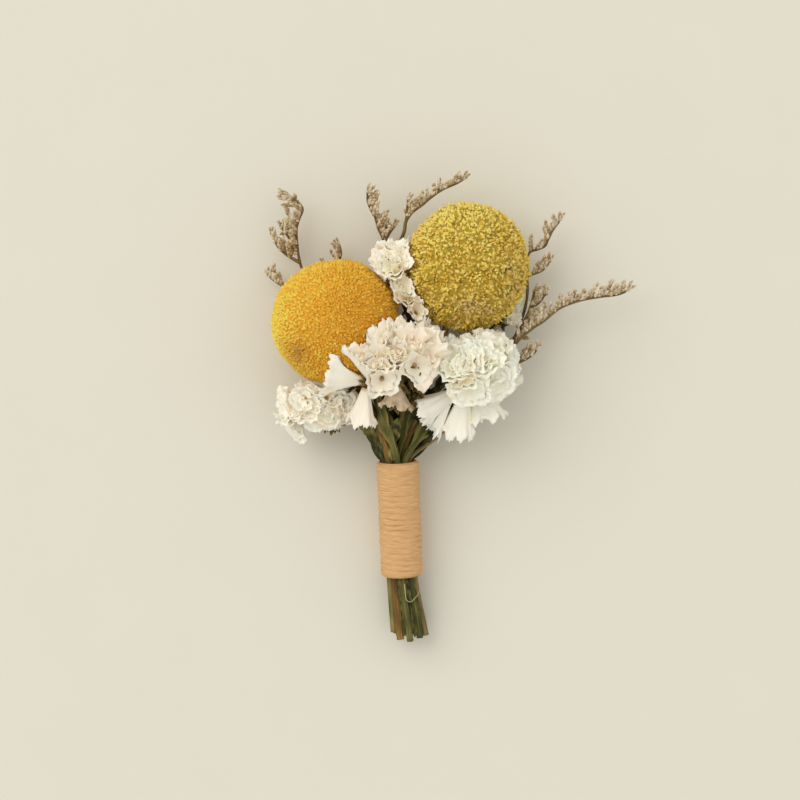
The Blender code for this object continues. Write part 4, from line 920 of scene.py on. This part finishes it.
# Branches: points (or None for the trunk), radius, tip, how long it flowers, the spikelets' side, how many,
# how long.
seaLavender = {
    "left": {"slotNumber": 6, "cutBack": 1.0, "seed": 21, "trunk": [
        (-4.4, -9.0, 7.0), (-6.2, 0.0, 4.4), (-7.0, 8.0, 2.2), (-7.2, 14.0, 1.1), (-7.0, 20.5, 1.0),
        (-9.2, 26.2, 1.4), (-14.0, 29.0, 2.0), (-19.4, 29.8, 3.0), (-22.4, 30.6, 3.9), (-24.0, 31.9, 4.6),
        (-25.0, 35.2, 5.6), (-25.4, 38.3, 6.3), (-25.5, 42.4, 7.2), (-24.8, 44.8, 7.7), (-24.0, 47.2, 8.1),
        (-25.3, 48.9, 8.5), (-27.3, 50.4, 8.8),
    ], "branches": [
        (None, 0.9, 0.34, 16.0, (-1, 0.4, 0.35), 10, 4.6),
        ([(-24.7, 34.0, 5.3), (-27.7, 35.7, 5.9), (-30.2, 38.0, 6.4), (-31.4, 40.4, 6.8)],
         0.5, 0.34, 7.2, (-0.2, 1, 0.4), 5, 4.0),
        ([(-25.4, 38.3, 6.3), (-27.4, 40.2, 7.0), (-29.0, 42.2, 7.5)],
         0.45, 0.34, 4.0, (0.3, 1, 0.4), 3, 3.8),
        ([(-19.2, 29.7, 3.0), (-24.0, 28.6, 3.2), (-28.5, 28.2, 3.6), (-30.6, 29.2, 4.0), (-32.2, 30.4, 4.4)],
         0.5, 0.32, 4.6, (-0.1, 1, 0.4), 4, 3.6),
        ([(-13.4, 28.9, 1.9), (-15.4, 32.0, 3.4), (-15.1, 34.4, 4.5), (-14.6, 36.4, 5.1), (-15.0, 38.4, 5.6)],
         0.45, 0.32, 4.2, (-1, 0.5, 0.3), 4, 3.0),
        ([(-17.0, 29.4, 2.5), (-18.3, 32.4, 3.6), (-18.8, 34.2, 4.2)],
         0.42, 0.3, 1.0, (-1, 0.3, 0.3), 0, 2.2),
    ]},
    "top": {"slotNumber": 5, "cutBack": 0.5, "seed": 22, "trunk": [
        (-1.6, -5.0, 5.4), (-1.4, 8.0, 4.2), (-1.6, 20.0, 3.8), (-3.2, 30.0, 4.4), (-3.6, 35.6, 6.4),
        (-4.2, 39.6, 8.6), (-5.4, 42.3, 9.5), (-6.2, 45.1, 10.1), (-7.1, 46.6, 10.4), (-7.9, 48.6, 10.8),
        (-8.0, 50.6, 11.1),
    ], "branches": [
        (None, 0.9, 0.34, 12.0, (1, 0.5, 0.35), 8, 4.0),
        ([(-4.0, 38.4, 8.0), (-2.6, 41.0, 9.2), (-1.2, 42.8, 9.7)], 0.42, 0.32, 2.6, (-0.4, 1, 0.3), 2, 3.0),
        ([(-3.4, 34.0, 5.8), (-0.8, 37.6, 8.0), (1.0, 41.3, 9.8), (1.5, 44.0, 10.5), (2.9, 46.0, 11.0),
          (5.2, 47.7, 11.6), (7.9, 49.9, 12.2), (10.6, 51.6, 12.8), (13.5, 52.8, 13.4), (15.4, 53.8, 13.8)],
         0.6, 0.34, 17.0, (-0.4, 1, 0.3), 10, 3.5),
        ([(1.6, 44.4, 10.6), (1.7, 46.6, 11.0), (1.9, 48.8, 11.4)], 0.42, 0.32, 3.8, (1, 0.6, 0.3), 3, 3.4),
    ]},
    "upper_right": {"slotNumber": 3, "cutBack": 1.4, "seed": 23, "trunk": [
        (7.6, -8.0, 7.0), (16.4, 2.4, 6.0), (22.6, 8.4, 5.6), (27.6, 14.2, 6.2), (29.9, 19.4, 7.0),
        (31.3, 25.0, 7.8), (31.4, 30.0, 8.2), (31.1, 33.6, 8.5), (32.0, 36.4, 9.0), (34.0, 37.1, 9.4),
        (35.7, 37.9, 9.8), (36.4, 39.4, 10.2), (37.6, 41.8, 10.7), (39.1, 43.8, 11.3),
    ], "branches": [
        (None, 0.9, 0.34, 10.8, (-0.4, 1, 0.3), 6, 3.6),
        ([(31.3, 30.6, 8.2), (33.3, 31.2, 9.0), (35.2, 32.0, 9.3), (36.6, 33.6, 9.7)],
         0.45, 0.32, 4.6, (-0.1, 1, 0.4), 5, 3.6),
        ([(26.8, 13.2, 6.1), (29.2, 16.6, 8.2), (31.6, 21.4, 9.6), (32.6, 24.8, 10.2), (32.9, 26.4, 10.4)],
         0.8, 0.36, 12.5, (0.8, 0.7, 0.4), 8, 3.8),
        ([(31.9, 22.4, 9.8), (34.2, 24.0, 10.4), (35.6, 25.8, 10.8)],
         0.42, 0.32, 3.6, (-0.5, 1, 0.4), 3, 3.4),
    ]},
    "lower_right": {"slotNumber": 2, "cutBack": 0.7, "seed": 24, "trunk": [
        (9.2, -9.0, 9.6), (18.0, 0.0, 8.8), (24.4, 7.4, 9.2), (27.4, 12.2, 10.2), (29.4, 15.0, 11.0),
        (31.8, 17.1, 11.4), (35.4, 19.5, 11.8), (39.0, 22.4, 12.4), (42.6, 23.9, 12.8), (46.2, 24.8, 13.1),
        (49.8, 25.3, 13.4), (53.4, 25.8, 13.7), (55.2, 26.5, 13.9),
    ], "branches": [
        (None, 0.9, 0.34, 29.0, (-0.5, 1, 0.3), 15, 4.1),
        ([(25.4, 8.8, 9.4), (29.0, 9.2, 9.0), (32.2, 10.8, 9.3), (33.6, 12.2, 9.6)],
         0.5, 0.34, 5.6, (-0.4, 1, 0.4), 5, 3.6),
    ]},
}


# v turned about the axis by the angle: v cos a + axis x v sin a + axis (axis . v)(1 - cos a).
def turned(v, axis, angle):
    return wayRound(v, np.cross(axis, v), angle) + axis * (axis @ v) * (1 - math.cos(angle))


# The spikelet's scales: how many, up to which share of its axis, how far they lean out, the profile of one
# as (height, radius) and its depth marks. Between the frame's own spikelets stand smaller ones, and a blunt
# tuft of two closes a branch. aside and lean are in degrees.
spikelet = {
    "scales": 8, "upTo": 0.74, "out": 0.42, "uneven": 0.24, "flat": 0.8, "around": 6, "aside": (26, 18),
    "lean": (42, 60), "tilt": 0.2, "apart": 0.12, "closing": 0.5, "sizes": (0.30, 0.40), "smaller": 0.2,
    "bend": 0.3, "lengths": (0.82, 1.15),
    "profile": [(-0.05, 0.12), (0.18, 0.30), (0.45, 0.35), (0.75, 0.23), (0.96, 0.05)],
    "depth": [0.0, 0.25, 0.6, 0.9, 1.0], "own": 1.1, "between": 0.55, "tuft": [(0.72, 12), (0.8, 40)],
}


# Spikelets stand on one side of a branch. Each is a short axis with overlapping pointed scales, left and
# right by turns, smaller towards its tip.
def spikeletScales(spikelets, seed):
    draw, scales = np.random.default_rng(seed), spikelet["scales"]
    t = np.linspace(0.0, spikelet["upTo"], scales)
    hand = np.where(np.arange(scales) % 2, 1.0, -1.0)[:, None]
    rows = []
    for spot, way, size in spikelets:
        side = unit(np.cross(way, up + draw.normal(size=3) * spikelet["tilt"]))
        aside = np.cross(way, side) * draw.normal(size=(scales, 1)) * spikelet["uneven"]
        spread = side * hand * spikelet["out"] + aside
        roots = spot + way * (t * size)[:, None] + spread * spikelet["apart"]
        ways = unit(way + spread * (1 - spikelet["closing"] * t[:, None]))
        sizes = size * draw.uniform(*spikelet["sizes"], scales) * (1 - spikelet["smaller"] * t)
        rows.append((roots, ways, sizes, -spread * spikelet["bend"]))
    roots, ways, sizes, bends = map(np.concatenate, zip(*rows))
    rings = turnedBuds(
        roots, ways, sizes, spikelet["profile"], spikelet["around"], seed + 1, spikelet["flat"], bends,
    )
    tone = np.clip(draw.uniform(-0.5, 1.4, len(sizes)), 0, 1.2)
    return shells(rings, depth=ringMark(spikelet["depth"]), tone=shellMark(tone))


branch = {"around": 9, "tip": 0.8, "uneven": 0.06, "tone": 0.45, "side": (0.3, 0.2, 1), "trunkRoom": 0.75}


# A branch's stalk, thinner towards its tip as share^0.7; the trunk has a cut end.
def branchStalk(path, radius, tip, cut, seed, toneSeed):
    size = radius + (tip * branch["tip"] - radius) * sharesAlong(path) ** 0.7
    size = size * (1 + branch["uneven"] * cloud(path, 3.0, seed))[:, None] * np.ones((1, branch["around"]))
    if cut:
        path, size = withCutEnd(path, size)
    rings = tubeRings(path, branch["side"], size, branch["around"])
    return shells(rings[None], **stalkMarks(rings, path, branch["tone"], toneSeed, 2 if cut else 0))


# The spikelets of a branch as (spot, way, size), evenly spaced over the flowering length, left and right by
# turns. The tuft leans to the last spikelet's side; on a branch without any, to that of the branch before.
def branchSpikelets(path, side, draw, fill, flowering, spikeSide, spikes, spikeLength):
    length, made = lengthsAlong(path), []
    for spike in range(spikes):
        for pick, later, size in ((draw, 0.0, spikelet["own"]), (fill, 0.5, spikelet["between"])):
            place = length[-1] - flowering * (1 - spike / spikes) + later * flowering / spikes
            spot = np.array([np.interp(place, length, path[:, i]) for i in range(3)])
            index = min(int(np.searchsorted(length, place)), len(path) - 1)
            tangent = unit(path[index] - path[index - 1])
            side = unit(spikeSide - tangent * (np.array(spikeSide) @ tangent))
            aside, more = spikelet["aside"]
            aside = (aside if spike % 2 else -aside) + pick.uniform(-more, more)
            side = turned(side, tangent, math.radians(aside))
            lean = math.radians(pick.uniform(*spikelet["lean"]))
            size = spikeLength * pick.uniform(*spikelet["lengths"]) * size
            if pick is draw:
                draw.random()  # the frame's source draws a turn here, so the draws after it stay in step
            made.append((spot, unit(wayRound(tangent, side, lean)), size))
    tangent = unit(path[-1] - path[-2])
    for size, lean in spikelet["tuft"]:
        made.append((path[-1], unit(wayRound(tangent, side, math.radians(lean))), spikeLength * size))
    return made, side


for name, look in seaLavender.items():
    trunk = bundledPath(look["slotNumber"], look["cutBack"], look["trunk"])
    stemPaths.append((curveThrough(trunk, 0.8), branch["trunkRoom"]))
    draw, fill = random.Random(look["seed"]), random.Random(look["seed"] + 50)
    stalks, spikelets, side = [], [], None
    for number, (points, radius, tip, *spikes) in enumerate(look["branches"]):
        path = curveThrough(trunk if points is None else points, 0.5)
        stalk = branchStalk(path, radius, tip, points is None, look["seed"], look["seed"] + number)
        stalks.append((stalk, 0))
        made, side = branchSpikelets(path, side, draw, fill, *spikes)
        spikelets += made
    stalksName, spikesName = "sea_lavender_stalks_" + name, "sea_lavender_spikelets_" + name
    makePiece(stalksName, stalks, [stalkBeige], ["sea_lavender_spray_" + name])
    scales = spikeletScales(spikelets, look["seed"])
    makePiece(spikesName, [(scales, 0)], [lavenderHusk], ())
print("sea lavender made")


# Statice florets.

stemPaths += zip(ballPaths, (bundle["outerRadius"], bundle["innerRadius"]))
headFences = []
for ball in (leftBall, rightBall):
    radius = max(ball["across"], ball["along"]) + fence["seatGap"] + fence["wall"] / 2
    headFences.append(("ball", ball["centre"], radius, fence["headSoft"]))
headFences.append(planeFence((0, 0, 0.4), up))  # no petal sinks to the floor
headFences.append(planeFence((0, 0, cadHigh[2] * 1000), -up, 0.3))  # or rises above the frame's top
leftPlace, leftWay = (-11.8, 0.0, 18.0), np.array([1.0, 0.25, 1.2])
rightPlace, rightOut = (7.6, 6.0, 20.0), np.array([-1.0, 0.4, 0.4])
dividers = {
    "centre": [planeFence(leftPlace, leftWay, 0.8), planeFence(rightPlace, rightOut, 0.9)],
    "left": [planeFence(leftPlace, -leftWay, 1.8)], "right": [planeFence(rightPlace, -rightOut, 1.6)],
}

# Two layers of paper to a floret: the outer funnel as in the frame, and a shallow dish that lines it. Each
# begins at a share of the floret's length and widens as t^flare. wide and long are next to the outer one's.
# waves, pleats and crimps are (how many, how high in mm); edge frays the rim and roll turns it outward.
layers = [
    {"from": 0.0, "flare": 1.15, "wide": 1.04, "long": 1.0, "around": 88, "rows": 12, "edge": 0.06,
     "roll": 0.45, "waves": [(3, 0.45), (5, 0.55)], "pleats": [(8, 0.13), (13, 0.07)],
     "crimps": [(13, 0.24), (23, 0.12)]},
    {"from": 0.40, "flare": 0.9, "wide": 0.76, "long": 0.90, "around": 72, "rows": 9, "edge": 0.05,
     "roll": 0.3, "waves": [(3, 0.28), (5, 0.32)], "pleats": [(7, 0.08), (11, 0.05)],
     "crimps": [(11, 0.20), (19, 0.10)]},
]
# Smaller florets that stand between the frame's own and close the gaps: how near two mouths are that get one.
fillers = {
    "near": (5.0, 9.5), "clear": 3.6, "wide": 3.8, "narrow": 3.1, "seed": 50,
    "layers": [{**layers[0], "around": 64, "rows": 9}, {**layers[1], "around": 56, "rows": 7}],
}
# What the layers share: the throat's radius and how far it is sunk, the rim's long and short teeth as shares
# of the length, how much a floret curls, how far in radians the rim leans back, the wall's thickness at the
# rim and how much more it has at the throat, and the half width under which the waves are lower.
funnel = {
    "throat": 0.8, "sunk": 1.4, "teethCount": 16, "teeth": (0.10, -0.09), "uneven": 0.03, "toothReach": 0.7,
    "curl": (0.05, 0.16), "leanOut": 0.55, "wall": (0.10, 0.16), "calm": 3.0,
}


# The two ways across a floret; at no roll its wide way is level.
def floretAxes(way, roll):
    level = np.cross(up, way)
    level = unit(level) if np.linalg.norm(level) > 1e-3 else np.array([1.0, 0, 0])
    across = wayRound(level, np.cross(way, level), math.radians(roll))
    return across, np.cross(way, across)


# One layer of a papery funnel. With t from throat to rim and a round it: half width = throat + (wide -
# throat) t^flare, reach = s length + s³ curl cos(a + way) + teeth at the rim for s = from + (1 - from) t, and
# the wall waves by the sum of height sin(cycles a + turn), times t^2.2 for the waves, t for the pleats and
# t^7 for the crimps. Each face of the wall lies half its thickness from that, bent clear of the neighbours.
def paperFunnel(shape, seed, layer, fences, draw):
    base, mouth, wide, narrow, roll = shape
    base, mouth = np.array(base), np.array(mouth)
    way, length = unit(mouth - base), np.linalg.norm(mouth - base)
    across, third = floretAxes(way, roll)
    own = random.Random(seed)

    # The sum of height sin(cycles a + turn + drift) over the waves, each with a turn of its own.
    def waves(key, dice, drift=0.0):
        turns = [(cycles, height, dice.uniform(0, fullTurn)) for cycles, height in layer[key]]
        return sum(height * np.sin(cycles * a + turn + drift) for cycles, height, turn in turns)

    a, t = anglesRound(layer["around"])[None], np.linspace(0.04, 1.0, layer["rows"])[:, None]
    ruffle = waves("waves", own) * t**2.2
    curlWay, curl = own.uniform(0, fullTurn), own.uniform(*funnel["curl"])
    count, (longer, shorter) = funnel["teethCount"], funnel["teeth"]
    teeth = [own.uniform(-1, 1) * funnel["uneven"] + (longer if i % 2 else shorter) for i in range(count)]
    throat = funnel["throat"] * layer["wide"] * (1 - 0.6 * layer["from"])
    spread, s = t ** layer["flare"], layer["from"] + (1 - layer["from"]) * t
    halfWide, halfNarrow = (throat + (size * layer["wide"] - throat) * spread for size in (wide, narrow))
    crimp, pleat = waves("crimps", draw, 2.0 * t), waves("pleats", own)
    ruffle = (ruffle + pleat * t + crimp * t**7) * min(1.0, narrow / funnel["calm"])  # small ones wave less
    ruffle = ruffle + layer["roll"] * smoothStep(0.75, 1.0, t)
    tooth = np.interp(a / fullTurn * count, np.arange(count + 1), [*teeth, teeth[0]]) * funnel["toothReach"]
    jag = draw.uniform(-1, 1, a.shape) * layer["edge"]
    reach = s * length + s**3 * length * curl * np.cos(a + curlWay)
    torn = tooth * smoothStep(0.78, 1.0, t) + jag * smoothStep(0.7, 1.0, t)
    reach = reach * layer["long"] + torn * length
    flat = across * (np.cos(a) * halfWide)[..., None] + third * (np.sin(a) * halfNarrow)[..., None]
    normal = unit(np.stack([np.cos(a) / halfWide, np.sin(a) / halfNarrow], axis=-1))
    outward = wayRound(across * normal[..., :1] + third * normal[..., 1:], -way, funnel["leanOut"] * t)
    middle = base + way * reach[..., None] + flat + outward * ruffle[..., None]
    middle, outward = bentClear(middle, outward, fences)
    atRim, more = funnel["wall"]
    wall = (atRim + more * (1 - t))[..., None]
    low = base + way * (layer["from"] * length * layer["long"] - funnel["sunk"] * (1 - layer["from"]))
    root = low + wayRound(across, third, a) * throat * 0.6
    rings = np.concatenate([root, middle + outward * wall / 2, (middle - outward * wall / 2)[::-1]])
    along = np.concatenate([[0.0], t[:, 0], t[::-1, 0]])[:, None] * np.ones(a.shape)
    streak = np.broadcast_arrays(np.cos(a) + draw.uniform(0, 20), np.sin(a), along * 0.12)
    return rings, along, np.stack(streak, axis=-1)


# ends: the core's rings as (share of its length, share of its radius). profile: a husk's (height, radius).
husks = {
    "ends": [(-0.12, 0.3), (-0.06, 0.8), (0.05, 1.0), (0.5, 1.0), (0.95, 1.0), (1.06, 0.8), (1.12, 0.3)],
    "profile": [(0.0, 0.10), (0.2, 0.19), (0.5, 0.20), (0.8, 0.12), (0.99, 0.02)],
    "depth": [0, 0.25, 0.6, 0.85, 1.0], "perLength": 3, "lift": 0.12, "flat": 0.7, "clusterDepth": 0.7,
}


# The bunch's core, a rod with rounded ends, and the pointed husks round it and in clusters.
def huskCluster(bunch, fences):
    draw = np.random.default_rng(bunch["seed"] + 9)
    start, end, radius = coreOf(bunch)
    rod, ends = unit(end - start), np.array(husks["ends"])
    coreRings = tubeRings(start + (end - start) * ends[:, :1], up, ends[:, 1:] * radius, 16)[None]
    count = int(husks["perLength"] * np.linalg.norm(end - start))
    along, angle = draw.uniform(-0.1, 1.1, count), draw.uniform(0, fullTurn, count)
    side = unit(np.cross(rod, up))
    out = wayRound(side, np.cross(rod, side), angle)
    roots = start + (end - start) * along[:, None] + out * radius * 0.75
    ways = unit(out + rod * draw.normal(size=(count, 1)) * 0.5 + draw.normal(size=(count, 3)) * 0.2)
    bend, depth = up * np.full((count, 1), husks["lift"]), ringMark(husks["depth"])
    sizes, profile = draw.uniform(2.0, 3.8, count), husks["profile"]
    rings = [turnedBuds(roots, ways, sizes, profile, 6, bunch["seed"], husks["flat"], bend)]
    depths = [depth * shellMark(np.ones(count))]
    for middle, spread, way, many in bunch["husks"]:
        spots = np.array(middle) + np.clip(draw.normal(size=(many, 3)), -1.3, 1.3) * spread
        leans = unit(unit(way) + draw.normal(size=(many, 3)) * 0.45)
        sizes = draw.uniform(2.0, 3.6, many)
        rings.append(turnedBuds(spots, leans, sizes, profile, 6, bunch["seed"] + 2, 0.8))
        depths.append(depth * shellMark(np.full(many, husks["clusterDepth"])))
    rings = np.concatenate(rings)
    rings, _ = bentClear(rings, rings * 0 + up, fences)
    tone = np.clip(draw.uniform(-0.4, 1.0, len(rings)), 0, 1)
    core = shells(coreRings, depth=evenMark(0.1), tone=evenMark(0))
    return [(core, 0), (shells(rings, depth=np.concatenate(depths), tone=shellMark(tone)), 0)]


# A floret between each two near neighbours of a bunch, halfway from root and mouth, nearest pairs first,
# where the mouth lies beyond fillFrom along y: the lower rows stand free.
def fillerFlorets(florets, fillFrom, look, draw):
    bases, mouths = (np.array([floret[i] for floret in florets], float) for i in (0, 1))
    first, second = np.triu_indices(len(florets), 1)
    apart = np.linalg.norm(mouths[first] - mouths[second], axis=-1)
    taken, made = list(mouths), []
    for pair in np.argsort(apart):
        i, j = first[pair], second[pair]
        mouth = (mouths[i] + mouths[j]) / 2 + draw.normal(size=3) * 0.3
        room = min(np.linalg.norm(mouth - other) for other in taken)
        near, far = look["near"]
        free = room > min(look["clear"], apart[pair] * 0.42)
        if near < apart[pair] < far and free and mouth[1] > fillFrom:
            taken.append(mouth)
            made.append(((bases[i] + bases[j]) / 2, mouth, look["wide"], look["narrow"], draw.uniform(0, 90)))
    return made


# The two layers of all the florets of a bunch, each with its marks.
def staticeCalyces(bunch, between, fences, draw):
    sets = [(bunch["florets"], layer, 0) for layer in layers]
    sets += [(between, layer, fillers["seed"]) for layer in fillers["layers"] if between]
    parts = []
    for shapes, layer, firstSeed in sets:
        seeds = range(bunch["seed"] + firstSeed, bunch["seed"] + firstSeed + len(shapes))
        made = [paperFunnel(shape, seed, layer, fences, draw) for shape, seed in zip(shapes, seeds)]
        rings, along, streak = (np.stack(item) for item in zip(*made))
        blush = (bunch["blush"] + draw.normal(size=len(made)) * 0.16)[:, None, None]
        blush = np.clip(blush + 0.18 * cloud(rings, 7.0, bunch["seed"]), 0, 1)
        # Painted shade and browning on the listed florets; the florets between get none.
        browningAndShade = [0.0 if firstSeed else bunch["browningAndShade"].get(number, 0.0) for number in range(len(made))]
        browningAndShade = np.array(browningAndShade)[:, None, None] * (0.8 + 0.25 * cloud(rings, 3.0, bunch["seed"] + 4))
        marks = {"along": along, "blush": blush, "browningAndShade": np.clip(browningAndShade, 0, 1)}
        marks = {key: mark[..., None] for key, mark in marks.items()}
        parts.append((shells(rings, **marks, streak=streak), 0))
    return parts


for name, bunch in staticeBunches.items():
    fences = headFences + dividers.get(name, []) + stemFences(stemPaths, bunch["core"])
    draw = np.random.default_rng(bunch["seed"])
    between = fillerFlorets(bunch["florets"], bunch["fillFrom"], fillers, draw)
    parts = staticeCalyces(bunch, between, fences, draw)
    makePiece("statice_calyces_" + name, parts, [paper], ["statice_florets_" + name])
    makePiece("statice_husks_" + name, huskCluster(bunch, fences), [staticeHusk], ())
    print("statice", name, "with", len(between), "florets between")
print("statice florets made")


# Binding.

binding = {
    "radius": 5.22, "turns": 20, "groove": 0.34, "rows": 13, "around": 110, "wall": 0.75, "seed": 31,
    "wobble": 0.16, "sway": 0.07, "crests": 0.07, "tight": (0.68, 0.88, 0.55), "rounded": (0.5, 0.5),
    "flare": 0.35,
}


# A sleeve of one thread wound side by side. With h = height / pitch - a / full turn, each whole step of h is
# one turn of the thread; the radius falls from its crest to the groove as 1 - sqrt(1 - x²) across the thread.
def woundThread(look):
    draw = np.random.default_rng(look["seed"])
    length = np.linalg.norm(bundle["top"] - bundle["foot"])
    height = np.linspace(0, length, look["turns"] * look["rows"] + 1)[:, None]
    a, pitch, lift = anglesRound(look["around"])[None], length / look["turns"], forwardWay * height[..., None]
    ways = wayRound(rightWay, upWay, a)
    wobble = look["wobble"] * cloud(ways * 3 + lift, 8.0, look["seed"])
    wobble = wobble + look["sway"] * np.sin(3 * a + height * 1.1)
    h = height / pitch - a / fullTurn + wobble * np.sin(math.pi * height / length)
    crest = draw.uniform(-1, 1, look["turns"] + 6)[np.floor(h).astype(int) + 3] * look["crests"]
    deep = look["groove"] * (0.65 + 0.5 * cloud(ways * 4 + lift * 1.5, 6.0, 5))
    low, high, less = look["tight"]
    deep = deep * (1 - less * smoothStep(low, high, height / length))  # pulled tighter near the flowers
    fall = 1 - np.sqrt(np.maximum(1 - (2 * (h - np.floor(h)) - 1) ** 2, 0))
    radius = look["radius"] - np.clip(deep, 0.04, 0.5) * fall + crest * (1 - fall)
    lower, over = look["rounded"]
    radius = radius - lower * (1 - smoothStep(0, over, np.minimum(height, length - height)))
    outer = bundle["foot"] + lift + ways * radius[..., None]
    back = np.linspace(length, 0, 8)[:, None, None]
    bore = look["radius"] - look["wall"] - look["flare"] * (np.abs(back / length - 0.5) > 0.45)
    inner = bundle["foot"] + forwardWay * back + ways * bore
    streak = np.stack(np.broadcast_arrays(np.cos(a) * 2, np.sin(a) * 2, h * 6), axis=-1)
    # groove marks where shade is painted: deep between two turns, and all over inside the sleeve.
    groove = np.clip((fall - 0.45) * 1.6, 0, 1) * np.clip(deep / look["groove"], 0.2, 1)
    streak = np.concatenate([streak, np.zeros(inner.shape)])[None]
    groove = np.concatenate([groove, np.ones(inner.shape[:2])])[None, ..., None]
    return shells(np.concatenate([outer, inner])[None], looped=True, streak=streak, groove=groove)


makePiece("binding_floss", [(woundThread(binding), 0)], [floss], ["binding_thread"])
print("binding made")


# Camera, floor and light, in metres.

studio = {
    "cameraHeight": 0.6, "focal": 108.0, "sensor": 36.0, "floorStops": [(0.3, "#e1ded0"), (0.7, "#e2dfd1")],
    "floorHalf": 1.5, "floorDown": 2e-5, "keyWay": (-0.55, 0.45, 0.8), "keyDistance": 4.0, "keySize": 3.8,
    "keyPower": 56.5, "keyColour": (1.0, 0.97, 0.92), "worldColour": (1.0, 0.98, 0.94, 1.0), "world": 0.80,
}
middle = frameShift * 0.001

camera = placed("camera", bpy.data.cameras.new("camera"))
camera.data.lens, camera.data.sensor_width = studio["focal"], studio["sensor"]
camera.location = middle + up * studio["cameraHeight"]
scene.camera = camera

# Backdrop of matt paper: pale and even, with a faint tooth.
backdropPaper, tree, shader = newMaterial("BackdropMattPaper", Roughness=0.95, Specular_IOR_Level=0.15)
tint = colours(tree, noise(tree, placeOn(tree), 1 / 0.02, 2.0), studio["floorStops"])
tree.links.new(tint, shader.inputs["Base Color"])
floorMesh = bpy.data.meshes.new("backdrop")
half, down = studio["floorHalf"], -studio["floorDown"]
corners = [(-half, -half, down), (half, -half, down), (half, half, down), (-half, half, down)]
floorMesh.from_pydata(corners, [], [(0, 1, 2, 3)])
floorMesh.materials.append(backdropPaper)
backdrop = placed("backdrop", floorMesh)

key, keyWay = placed("key", bpy.data.lights.new("key", "AREA")), unit(studio["keyWay"])
key.data.shape, key.data.size, key.data.energy = "DISK", studio["keySize"], studio["keyPower"]
key.data.color = studio["keyColour"]
key.location = middle + keyWay * studio["keyDistance"]
key.rotation_euler = (math.acos(keyWay[2]), 0, math.atan2(-keyWay[0], keyWay[1]) + math.pi)

world = bpy.data.worlds.new("softRoom")
world.use_nodes = True
sky = next(node for node in world.node_tree.nodes if node.type == "BACKGROUND")
sky.inputs["Color"].default_value = studio["worldColour"]
sky.inputs["Strength"].default_value = studio["world"]
scene.world = world
scene.view_settings.view_transform = "Standard"
scene.cycles.diffuse_bounces = 12  # light goes to and fro between the pale petals
scene.cycles.max_bounces = 16

largest = max(triangles, key=triangles.get)
print("pieces:", len(triangles), "triangles:", sum(triangles.values()))
print("largest:", largest, triangles[largest])
